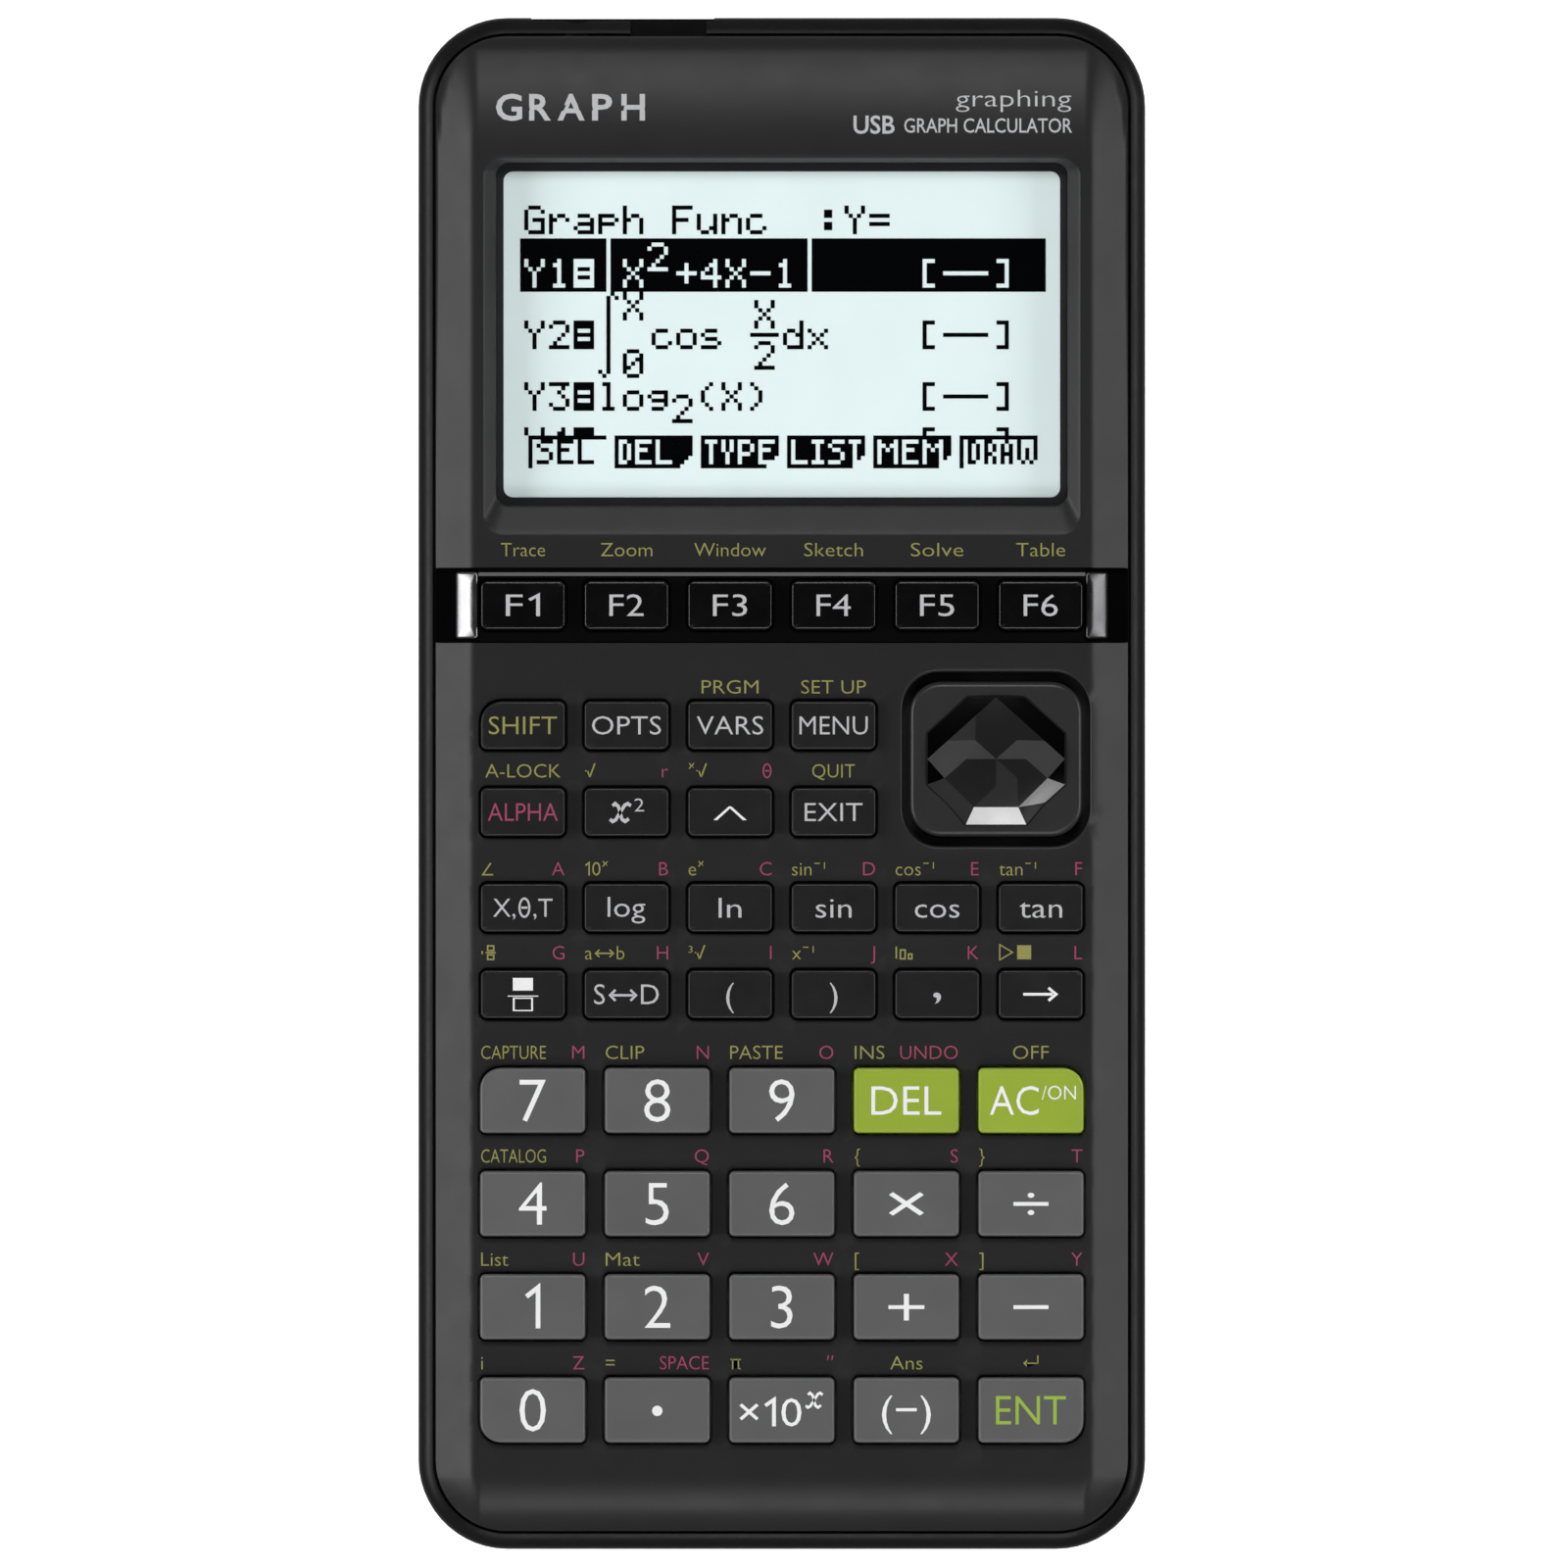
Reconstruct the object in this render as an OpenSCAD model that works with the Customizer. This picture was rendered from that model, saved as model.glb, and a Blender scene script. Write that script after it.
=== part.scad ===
// Graphing calculator: two case shells, a window, a display, a gloss function-key
// panel, 46 separate keycaps, a rocking cursor pad, a rubber key mat, circuit boards,
// four AAA cells, a battery cover on hooks, screws and rubber feet.
// It lies on its back: +Z points out of the keys and +Y towards the display end.
// Z = 0 is the plane under the feet. Millimetres.

/* [Body] */
// Width across the rear case
body_w = 83.3; // [83:0.1:85]
// Length of the rear case
body_l = 175.5; // [175.5:0.1:178]
// Height from the feet to the top of the cursor pad
body_h = 21.3; // [21.2:0.1:21.6]
// Corner radius of the rear case, seen from the front
corner_r = 10.2; // [9.8:0.1:10.6]

/* [Keys] */
// How far a key goes down
key_travel = 1.0; // [0.6:0.1:1.1]
// Gap round each keycap in its hole
key_gap = 0.25; // [0.2:0.01:0.3]
// Column pitch of the six-column rows
six_pitch = 11.84; // [11.7:0.01:12]
// Column pitch of the number block
five_pitch = 14.24; // [14.1:0.01:14.4]
// Width of a small key
small_key_w = 9.6; // [9:0.1:9.8]
// Width of a number key
number_key_w = 12.0; // [11.4:0.1:12.2]

/* [Display] */
// Width of the opening over the display
display_w = 65.2; // [63:0.1:65.6]
// Length of the opening over the display
display_l = 39.1; // [37:0.1:39.4]
// Middle of the display opening along Y
display_y = 51.4; // [51.2:0.1:51.6]

/* [Hidden] */
$fn = 48;
eps = 0.01;
far = 200;

// Heights
foot_h = 0.8;                       // what the feet stand out of the rear case
rear_wall = 2.0;
rear_in = foot_h + rear_wall;       // inner face of the rear wall
rim_z = 13.0;                       // seat of the front case on the rear case
lip_z = rim_z + 1.25;               // top of the lip round that seat, before the groove cuts it
groove = 0.4;                       // gap between the lip and the front case, seen from the front
seam = 0.15;                        // gap between the two case shells
front_z = rim_z + seam;
face_z = body_h - 1.4;              // flat middle of the front face
face_wall = 2.0;
roof_z = face_z - face_wall;        // inside of the front face
side_drop = 3.0;                    // how far the face falls at its edges
flange_top = roof_z - 0.2;
flange_h = 0.8;
key_bottom = flange_top - flange_h;
post_z = key_bottom - 0.5;          // foot of a key's post
dome_top = post_z - 0.1;
mat_top = roof_z - 3.15;
mat_h = 0.7;
board_top = mat_top - mat_h - 0.05; // top of the key board
key_board_h = 1.15;
main_top = board_top + 0.8;         // top of the main board
main_h = 0.8;

// Case shells
front_w = body_w - 4.1;
front_l = body_l - 4.4;
front_r = corner_r - 2.05;
front_wall = 1.8;
side_roll = 5.0;                    // width of the sloping edge on the sides
side_blend = 2.2;                   // radius where a side's slope meets the flat face
end_roll = 6.4;                     // width of the rounded edge at the bottom end
top_roll = 13.2;                    // width of the flatter brow at the display end
tongue = 1.65;                      // depth of the front case's tongue inside the rear case
edge_r = 3.0;                       // bottom edge of the rear case
rim_r = 2.5;                        // outer edge of the rear case's lip
case_screws = [[35.2, 79.2], [36.8, 13.4], [36.8, -65.7]];
board_screws = [[17.8, 15.2], [20.0, -29.7], [15.0, -79.0]];
main_screws = [[35.6, 71.0], [35.6, 31.0]];
feet_at = [[31, 70], [31, -79]];
foot_r = 3.5;

// Function-key panel
panel_y = 20.38;
panel_l = 8.55;
panel_deep = 1.0;
panel_proud = 0.1;
bar_w = 2.5;
bar_l = 7.6;
bar_x = 36.05;

// Cursor pad
pad_at = [24.5, 2.8];
pad_well = [21.4, 19.9];
pad_size = [19.7, 17.7];
pad_flange = [22.4, 20.9];
pad_rim_z = body_h - 1.0;           // flat rim round the cut top
pad_top_w = 17.0;                   // eight-sided cut top, across its corners
pad_top_l = 15.3;
pad_table = 0.74;                   // upper octagon as a share of the lower one
pad_flange_z = mat_top + 1.15;
pivot_r = 1.25;
pivot_z = pad_flange_z - 0.3;

// Batteries and their cover
cell_r = 5.25;
cell_l = 44.5;
cell_pitch = 11.1;
bay = [46.4, 48.5];                 // inside of the battery bay
bay_y = 50.25;
bay_wall = 1.0;
cover_h = 1.6;
cell_z = foot_h + cover_h + 0.1 + cell_r;
bay_roof = cell_z + cell_r + 0.1;
cover = [50.0, 53.5];
cover_y = 50.75;
cover_gap = 0.25;
hook_x = 14;
hook_w = 6;

// Sockets at the display end, and the shallow recess that frames them
recess_w = 21;
recess_deep = 0.35;
recess_z = [7, 16.2];
jack_x = -23.5;
jack_r = 1.27;
jack_z = main_top - main_h - 3.0;
jack_deep = 10.5;
jack_hole_r = 2.45;
collar_r = 2.2;
usb_x = -13.0;
socket_y = body_l / 2 - 0.85;       // outer end of the jack
usb_y = socket_y - 1.5;             // outer end of the USB socket, flush with the front case
restart_at = [-12, -40];

// Grooves for a slide-on cover, and the label field
rail_z = [8.4, 10.6];
rail_l = 164;
rail_deep = 0.9;
label = [52, 40];
label_deep = 0.25;

// Window and display glass
window = [67.6, 41.0];
glass_w = 67.0;
lower_glass_l = 43.0;
upper_glass_l = 40.4;

// Rows of keys, and the two sizes of keycap
key_block = 71.64;                  // last row's distance from the middle
number_pitch = 11.8;
rows_y = [panel_y, 6.65, -3.26, -14.2, -24.1];
small_key = [small_key_w, 5.5];
number_key = [number_key_w, 7.45];
small_z = face_z + key_travel - 0.1;
number_z = face_z + key_travel + 0.25;
small_r = 0.7;
number_r = 0.6;
block_r = 2.4;                      // rounder corner at the ends of a key block

function row(names, pitch, n, y, size, z, r) =
    [for (i = [0:len(names) - 1]) [names[i], (i - (n - 1) / 2) * pitch, y, size, z, r]];
function small_row(names, i) = row(names, six_pitch, 6, rows_y[i], small_key, small_z, small_r);
function number_row(names, i) =
    row(names, five_pitch, 5, (3 - i) * number_pitch - key_block, number_key, number_z, number_r);

KEYS = concat(
    small_row(["key_f1", "key_f2", "key_f3", "key_f4", "key_f5", "key_f6"], 0),
    small_row(["key_shift", "key_options", "key_variables", "key_menu"], 1),
    small_row(["key_alpha", "key_square", "key_power", "key_exit"], 2),
    small_row(["key_x", "key_log", "key_ln", "key_sin", "key_cos", "key_tan"], 3),
    small_row(["key_fraction", "key_convert", "key_bracket_open", "key_bracket_close",
               "key_comma", "key_store"], 4),
    number_row(["key_7", "key_8", "key_9", "key_delete", "key_clear"], 0),
    number_row(["key_4", "key_5", "key_6", "key_times", "key_divide"], 1),
    number_row(["key_1", "key_2", "key_3", "key_plus", "key_minus"], 2),
    number_row(["key_0", "key_point", "key_exponent", "key_negate", "key_execute"], 3));

// The keys whose outer corner is rounder, with the signs of that corner
ROUND_CORNERS = [["key_shift", -1, 1], ["key_7", -1, 1], ["key_clear", 1, 1],
                 ["key_0", -1, -1], ["key_execute", 1, -1]];

// ---------- shared shapes ----------

// Rounded rectangle about the origin
module rounded_rect(w, l, r) {
    square([w - 2 * r, l], center = true);
    square([w, l - 2 * r], center = true);
    for (x = [-1, 1], y = [-1, 1])
        translate([x * (w / 2 - r), y * (l / 2 - r)]) circle(r);
}

// Plate with a rounded-rectangle outline between two heights
module plate(w, l, r, z0, z1, at = [0, 0]) {
    translate([at[0], at[1], z0]) linear_extrude(z1 - z0) rounded_rect(w, l, r);
}

// Box about a point in X and Y, between two heights
module block(w, l, z0, z1, at = [0, 0]) {
    translate([at[0] - w / 2, at[1] - l / 2, z0]) cube([w, l, z1 - z0]);
}

module rod(r, z0, z1, at = [0, 0]) {
    translate([at[0], at[1], z0]) cylinder(r = r, h = z1 - z0);
}

// Its children at both sides of the middle plane
module both_sides() {
    children();
    mirror([1, 0, 0]) children();
}

// Radius of an arc that falls by drop over a width
function roll_radius(width, drop) = (width * width + drop * drop) / (2 * drop);

// Keycap outline: one corner may be rounder
module key_outline(k, grow) {
    size = k[3] + [2 * grow, 2 * grow];
    r = k[5] + grow;
    round_corner = [for (c = ROUND_CORNERS) if (c[0] == k[0]) [c[1], c[2]]];
    big = block_r + grow;
    difference() {
        rounded_rect(size[0], size[1], r);
        for (c = round_corner)
            translate([c[0] * size[0] / 2, c[1] * size[1] / 2]) difference() {
                square(2 * big, center = true);
                translate([-c[0] * big, -c[1] * big]) circle(big);
                translate([-c[0] * 1.5 * big, 0]) square([big, 5 * big], center = true);
                translate([0, -c[1] * 1.5 * big]) square([5 * big, big], center = true);
            }
    }
}

// ---------- front case ----------

// Bar along Y whose top is flat in the middle and slopes down to each end of X
module side_profile() {
    flat = front_w / 2 - side_roll;
    block(2 * flat, far, 0, face_z);
    block(front_w + 4, far, 0, face_z - side_drop);
    both_sides() hull() {
        translate([flat, far / 2, face_z - side_blend]) rotate([90, 0, 0])
            cylinder(r = side_blend, h = far, $fn = 96);
        block(eps, far, face_z - side_drop - 1, face_z - side_drop, [front_w / 2 - eps / 2, 0]);
    }
}

// The same along X, with the longer brow at the display end
module end_profile() {
    y0 = -front_l / 2 + end_roll;
    y1 = front_l / 2 - top_roll;
    r0 = roll_radius(end_roll, side_drop);
    r1 = roll_radius(top_roll, side_drop);
    block(far, y1 - y0, 0, face_z, [0, (y0 + y1) / 2]);
    block(far, front_l + 4, 0, face_z - side_drop);
    translate([-far / 2, y0, face_z - r0]) rotate([0, 90, 0]) cylinder(r = r0, h = far);
    difference() {
        translate([-far / 2, y1, face_z - r1]) rotate([0, 90, 0]) cylinder(r = r1, h = far);
        block(far + 2, far, -far, face_z + 1, [0, y1 - far / 2]);
        block(far + 2, far, -far, 0);
    }
}

// Outer skin of the front case, or of anything that follows it at another height
module front_skin(lift = 0) {
    translate([0, 0, lift]) intersection() {
        plate(front_w, front_l, front_r, front_z - lift, face_z);
        side_profile();
        end_profile();
    }
}

// Rounded-edge band of the skin between two depths under its surface, for the key panel
module skin_band(w, l, at, up, down) {
    intersection() {
        difference() {
            translate([0, 0, up]) side_profile();
            translate([0, 0, down]) side_profile();
        }
        block(w, l, face_z - side_drop - 2, face_z + 2, at);
    }
}

module front_cavity() {
    inner = front_wall;
    plate(front_w - 2 * inner, front_l - 2 * inner, front_r - inner, front_z - 2, face_z - side_drop - 1.1);
    block(72, 154, front_z, roof_z, [0, -1]);
}

// Opening over the display with its sloping sides
module display_opening() {
    plate(display_w, display_l, 1.4, roof_z - 1, face_z + 1, [0, display_y]);
    lower = 3.5;
    upper = 0.6;
    side = 1.6;
    hull() {
        plate(display_w + 0.3, display_l + 0.3, 1.5, face_z - 1.3, face_z - 1.29, [0, display_y]);
        plate(display_w + 2 * side, display_l + upper + lower, 2.2, face_z + 0.02, face_z + 0.03,
              [0, display_y + (upper - lower) / 2]);
    }
}

module key_holes(z0, z1) {
    for (k = KEYS)
        translate([k[1], k[2], z0]) linear_extrude(z1 - z0) key_outline(k, key_gap);
}

// Cut-outs for the two sockets, with the shallow recess that frames them
module socket_holes() {
    block(recess_w, 2 * recess_deep, recess_z[0], recess_z[1], [(jack_x + usb_x) / 2, body_l / 2]);
    translate([jack_x, body_l / 2 + 1, jack_z]) rotate([90, 0, 0]) cylinder(r = jack_hole_r, h = 6);
    block(8.7, 8, main_top - main_h - 4.2, main_top - main_h + 0.3, [usb_x, body_l / 2 - 3]);
}

module front_case() color([0.19, 0.19, 0.19]) difference() {
    union() {
        difference() {
            front_skin();
            front_cavity();
        }
        difference() {
            plate(front_w - 0.3, front_l - 0.3, front_r - 0.15, front_z - tongue, front_z + 0.5);
            plate(front_w - 2 * front_wall, front_l - 2 * front_wall, front_r - front_wall,
                  front_z - tongue - 1, front_z + 1);
        }
        both_sides() {
            for (p = case_screws) rod(1.75, front_z - 1.75, roof_z - 1.9, p);
            for (p = board_screws) rod(1.5, board_top + 0.05, roof_z + 0.5, p);
            for (p = main_screws) rod(1.5, main_top + 0.05, roof_z + 0.5, p);
        }
    }
    display_opening();
    // Channel for the key panel
    difference() {
        block(far, panel_l + 0.1, front_z, face_z + 2, [0, panel_y]);
        translate([0, 0, -panel_deep - 0.05]) side_profile();
    }
    key_holes(roof_z - 1, face_z + 1);
    plate(pad_well[0], pad_well[1], 4.2, roof_z - 1, face_z + 1, pad_at);
    socket_holes();
    both_sides() {
        for (p = case_screws) rod(0.9, front_z - 2, roof_z - 2.2, p);
        for (p = board_screws) rod(0.8, board_top, roof_z, p);
        for (p = main_screws) rod(0.8, main_top, roof_z, p);
    }
}

// ---------- rear case ----------

// Half section of the tray from a corner's axis outwards
module tray_section() {
    reach = corner_r;
    translate([0, foot_h]) square([reach - edge_r, lip_z - foot_h]);
    translate([0, foot_h + edge_r]) square([reach, lip_z - foot_h - edge_r - rim_r]);
    translate([0, lip_z - 2 * rim_r]) square([reach - rim_r, 2 * rim_r]);
    translate([reach - edge_r, foot_h + edge_r]) circle(edge_r);
    translate([reach - rim_r, lip_z - rim_r]) circle(rim_r);
}

module tray() {
    cx = body_w / 2 - corner_r;
    cy = body_l / 2 - corner_r;
    block(2 * cx, 2 * cy, foot_h, lip_z);
    for (a = [0, 180]) rotate([0, 0, a]) {
        translate([cx, cy, 0]) rotate([90, 0, 0]) linear_extrude(2 * cy) tray_section();
        translate([-cx, cy, 0]) rotate([90, 0, 90]) linear_extrude(2 * cx) tray_section();
        translate([cx, cy, 0]) rotate_extrude(angle = 90) tray_section();
        translate([-cx, cy, 0]) rotate([0, 0, 90]) rotate_extrude(angle = 90) tray_section();
    }
}

// Walls, roof and floor flange of the battery bay
module bay_walls() {
    block(bay[0] + 2 * bay_wall, bay[1] + 2 * bay_wall, rear_in - 0.3, bay_roof + 0.8, [0, bay_y]);
    block(54, 58, rear_in - 0.3, rear_in + 0.9, [0, cover_y + 0.6]);
}

module bay_space() {
    block(bay[0], bay[1], 0, bay_roof, [0, bay_y]);
    block(cover[0] + 2 * cover_gap, cover[1] + 2 * cover_gap, 0, foot_h + cover_h + 0.1, [0, cover_y]);
    // Pockets for the cover's hooks
    both_sides() block(hook_w + 0.6, 3.8, foot_h + 0.7, foot_h + 2.4,
                       [hook_x, cover_y + cover[1] / 2 + 0.4]);
    // Finger dip at the latch end
    translate([0, cover_y - cover[1] / 2 - 1.5, foot_h - 5.5]) sphere(r = 7);
}

module bay_ribs() {
    for (i = [-1, 0, 1])
        block(0.5, bay[1] + 0.2, bay_roof - 2.2, bay_roof + 0.1, [i * cell_pitch, bay_y]);
}

module rear_case() color([0.13, 0.13, 0.13]) difference() {
    union() {
        difference() {
            tray();
            plate(body_w - 2 * rear_wall, body_l - 2 * rear_wall, corner_r - rear_wall, rear_in, lip_z);
            plate(front_w + 2 * groove, front_l + 2 * groove, front_r + groove, rim_z, lip_z + 1);
            // Grooves that a slide-on cover runs in
            both_sides() block(2 * rail_deep, rail_l, rail_z[0], rail_z[1], [body_w / 2, -8]);
            // Label field
            plate(label[0], label[1], 1.5, foot_h - 1, foot_h + label_deep, [0, -25]);
        }
        difference() {
            bay_walls();
            bay_space();
        }
        bay_ribs();
        both_sides() for (p = case_screws) rod(2.4, rear_in - 0.3, front_z - 1.85, p);
        rod(2.2, rear_in - 0.3, 9.0, restart_at);
    }
    intersection() {
        bay_space();
        block(far, far, -far, rear_in + eps);
    }
    both_sides() {
        for (p = case_screws) {
            rod(1.8, 0, 5.0, p);
            rod(1.15, 4, rim_z, p);
        }
        for (p = feet_at) rod(foot_r + 0.1, 0, foot_h + 0.8, p);
    }
    rod(1.0, 0, rim_z, restart_at);
    socket_holes();
}

// ---------- display ----------

module display_window() color([0.75, 0.8, 0.8, 0.3])
    plate(window[0], window[1], 1.2, roof_z - 1.0, roof_z - 0.1, [0, display_y]);

// Two glass plates; the lower one has the longer contact ledge
module display_panel() color([0.83, 0.87, 0.88]) {
    plate(glass_w, lower_glass_l, 0.5, main_top + 0.2, main_top + 1.0, [0, display_y - 0.8]);
    plate(glass_w, upper_glass_l, 0.5, main_top + 1.0, main_top + 1.9, [0, display_y + 0.4]);
}

// ---------- function-key panel ----------

module function_panel() color([0.03, 0.03, 0.03]) {
    difference() {
        skin_band(front_w, panel_l, [0, panel_y], panel_proud, -panel_deep);
        key_holes(roof_z, face_z + 2);
        both_sides() skin_band(bar_w + 0.1, bar_l + 0.1, [bar_x, panel_y], 1, -0.45);
    }
    both_sides() skin_band(bar_w, bar_l, [bar_x, panel_y], 0.35, -0.4);
}

// ---------- keys ----------

function key_colour(name) =
    name == "key_delete" || name == "key_clear" ? [0.58, 0.65, 0.28] :
    len([for (k = KEYS) if (k[0] == name && k[3] == number_key) k]) > 0 ? [0.40, 0.40, 0.40] :
    [0.15, 0.15, 0.15];

// Keycap with a chamfered top, a flange that holds it under the case, and a post
module key(k) color(key_colour(k[0])) translate([k[1], k[2], 0]) {
    chamfer = 0.4;
    translate([0, 0, key_bottom]) linear_extrude(k[4] - chamfer - key_bottom) key_outline(k, 0);
    hull() {
        translate([0, 0, k[4] - chamfer]) linear_extrude(eps) key_outline(k, 0, $fn = 24);
        translate([0, 0, k[4] - eps]) linear_extrude(eps) key_outline(k, -chamfer, $fn = 24);
    }
    plate(k[3][0] + 1.2, k[3][1] + 1.2, 0.8, key_bottom, flange_top);
    rod(1.1, post_z, key_bottom + 0.1);
}

// Rubber sheet with one hollow dome under each key and four under the cursor pad
module dome(at, top, r) {
    translate([at[0], at[1], mat_top - 0.1]) cylinder(r1 = r, r2 = 1.5, h = top - mat_top + 0.1);
}

module dome_hollow(at, top, r) {
    translate([at[0], at[1], mat_top - mat_h - 0.1])
        cylinder(r1 = r - 0.5, r2 = 1.0, h = top - mat_top + mat_h - 0.6);
}

function pad_domes() = [for (a = [0:90:270]) pad_at + [cos(a) * 7.2, sin(a) * 6.5]];

module key_mat() color([0.55, 0.55, 0.53]) difference() {
    union() {
        plate(69.6, 106.4, 2, mat_top - mat_h, mat_top, [0, -28.6]);
        for (k = KEYS) dome([k[1], k[2]], dome_top, 2.4);
        for (p = pad_domes()) dome(p, pad_flange_z - 0.1, 2.4);
    }
    for (k = KEYS) dome_hollow([k[1], k[2]], dome_top, 2.4);
    for (p = pad_domes()) dome_hollow(p, pad_flange_z - 0.1, 2.4);
    rod(pivot_r + 0.1, pivot_z - pivot_r - 0.05, far, pad_at);
    both_sides() for (p = board_screws) rod(1.8, 0, far, p);
}

// ---------- cursor pad ----------

// Regular polygon stretched to an oval; turn shifts its corners by a share of a step
module cut_outline(w, l, n, turn) {
    polygon([for (i = [0:n - 1]) let (a = 360 * (i + turn) / n) [cos(a) * w / 2, sin(a) * l / 2]]);
}

module cursor_pad() color([0.06, 0.06, 0.06]) translate([pad_at[0], pad_at[1], 0]) difference() {
    union() {
        plate(pad_flange[0], pad_flange[1], 4.2, pad_flange_z, pad_flange_z + 0.8);
        plate(pad_size[0], pad_size[1], 3.6, pad_flange_z, pad_rim_z);
        hull() {
            translate([0, 0, pad_rim_z - 0.1]) linear_extrude(0.1) cut_outline(pad_top_w, pad_top_l, 8, 0.5);
            translate([0, 0, body_h - 0.3]) linear_extrude(eps)
                cut_outline(pad_top_w * pad_table, pad_top_l * pad_table, 8, 0.5);
            translate([0, 0, body_h - eps]) linear_extrude(eps) cut_outline(0.4, 0.4, 8, 0);
        }
    }
    rod(pivot_r + 0.1, pad_flange_z - 1, pivot_z + pivot_r + 0.05);
}

// Ball between the mat and the pad
module cursor_pivot() color([0.55, 0.55, 0.53])
    translate([pad_at[0], pad_at[1], pivot_z]) sphere(r = pivot_r);

// ---------- electronics ----------

module usb_socket() {
    z1 = main_top - main_h - 0.02;
    z0 = z1 - 3.9;
    difference() {
        block(7.7, 9.2, z0, z1, [usb_x, usb_y - 4.6]);
        block(6.9, 8.0, z0 + 0.4, z1 - 0.4, [usb_x, usb_y - 3.5]);
    }
    block(4.6, 6.5, z0 + 1.5, z0 + 2.4, [usb_x, usb_y - 5.2]);
}

module jack_socket() {
    z1 = main_top - main_h - 0.02;
    difference() {
        union() {
            block(6.4, 7.9, z1 - 5.2, z1, [jack_x, socket_y - 7.45]);
            translate([jack_x, socket_y, jack_z]) rotate([90, 0, 0]) cylinder(r = collar_r, h = 4);
        }
        translate([jack_x, socket_y + 1, jack_z]) rotate([90, 0, 0]) cylinder(r = jack_r, h = jack_deep + 1);
    }
}

// Main board with its chips, under the display
module main_board() {
    bottom = main_top - main_h;
    difference() {
        union() {
            block(74, 46, bottom, main_top, [0, 51.5]);
            plate(74, 24, 6, bottom, main_top, [0, 71.4]);
        }
        both_sides() {
            for (p = main_screws) rod(1.0, 0, far, p);
            for (p = case_screws) rod(2.3, 0, far, p);
        }
    }
    chips = [[29.5, 62, 8, 10, 1.2], [29.5, 47, 7, 7, 1.0], [-29.5, 60, 6, 9, 1.1], [-29.5, 46, 5, 5, 0.9],
             [9, 81, 10, 4, 1.2], [20, 80.5, 6, 5, 1.0]];
    for (c = chips) block(c[2], c[3], bottom - c[4], bottom - 0.02, [c[0], c[1]]);
    rod(2.0, bottom - 4.2, bottom - 0.02, [29, 37]);
    rod(1.6, bottom - 3.6, bottom - 0.02, [-29, 36]);
}

// Key board under the mat, with the restart switch on its back
module key_board() {
    bottom = board_top - key_board_h;
    difference() {
        plate(69.6, 106.6, 1, bottom, board_top, [0, -28.7]);
        both_sides() for (p = board_screws) rod(0.95, 0, far, p);
    }
    difference() {
        block(4.6, 4.6, bottom - 2.4, bottom - 0.02, restart_at);
        rod(0.9, bottom - 3, bottom - 1.2, restart_at);
    }
}

// Flat jumper from the back of the key board to a connector under the main board
module board_jumper() {
    strip = board_top - key_board_h - 0.05;
    block(7.4, 11, strip - 0.2, strip, [29.6, 26]);
    block(7.4, 2.4, strip - 0.1, main_top - main_h - 0.02, [29.6, 30.3]);
}

// Sheet-metal contact at one end of the bay, at X
module cell_contact(x, y) {
    block(8.6, 0.4, foot_h + cover_h + 1.2, bay_roof - 0.5, [x, y]);
}

// Tapered coil spring that presses on the flat end of a cell, along Y from a contact
wire_r = 0.3;
coil_turns = 3.5;
coil_steps = 14;
coil_l = 2.1;
function coil_r(t) = 3.4 - 1.4 * t;
function ring(t, n, a) =
    [for (i = [0:n - 1]) let (b = 360 * i / n, r = coil_r(t) + wire_r * cos(b))
        [r * cos(a), t * coil_l + wire_r * sin(b), r * sin(a)]];
module coil_spring() {
    n = 6;
    steps = coil_turns * coil_steps;
    points = [for (s = [0:steps]) each ring(s / steps, n, 360 * s / coil_steps)];
    sides = [for (s = [0:steps - 1], i = [0:n - 1]) let (j = (i + 1) % n)
        [s * n + i, (s + 1) * n + i, (s + 1) * n + j, s * n + j]];
    start = [for (i = [0:n - 1]) i];
    end = [for (i = [0:n - 1]) steps * n + n - 1 - i];
    polyhedron(points, concat([start], sides, [end]));
}

function cell_x(i) = (i - 1.5) * cell_pitch;
function cell_flip(i) = i % 2 == 0 ? 1 : -1;
spring_end = bay[1] / 2 - 0.65;

module battery_contacts() {
    for (i = [0:3]) {
        cell_contact(cell_x(i), bay_y + bay[1] / 2 - 0.3);
        cell_contact(cell_x(i), bay_y - bay[1] / 2 + 0.3);
        translate([cell_x(i), bay_y - cell_flip(i) * (spring_end - 0.2), cell_z])
            rotate([0, 0, cell_flip(i) > 0 ? 0 : 180]) coil_spring();
    }
}

module circuit_boards() color([0.1, 0.35, 0.2]) {
    main_board();
    key_board();
    board_jumper();
    usb_socket();
    jack_socket();
    battery_contacts();
}

// Four AAA cells side by side, alternate ones turned round
module batteries() color([0.75, 0.6, 0.2]) for (i = [0:3])
    translate([cell_x(i), bay_y + cell_flip(i) * 1.35, cell_z]) rotate([90 * cell_flip(i), 0, 0]) {
        translate([0, 0, -cell_l / 2 + 0.9]) cylinder(r = cell_r, h = cell_l - 0.9);
        translate([0, 0, -cell_l / 2]) cylinder(r = 1.9, h = 1);
    }

// Plunger of the restart switch, reached through a hole in the rear case
module restart_button() color([0.6, 0.2, 0.15])
    rod(0.8, board_top - key_board_h - 3.4, board_top - key_board_h - 1.7, restart_at);

// ---------- battery cover ----------

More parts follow.
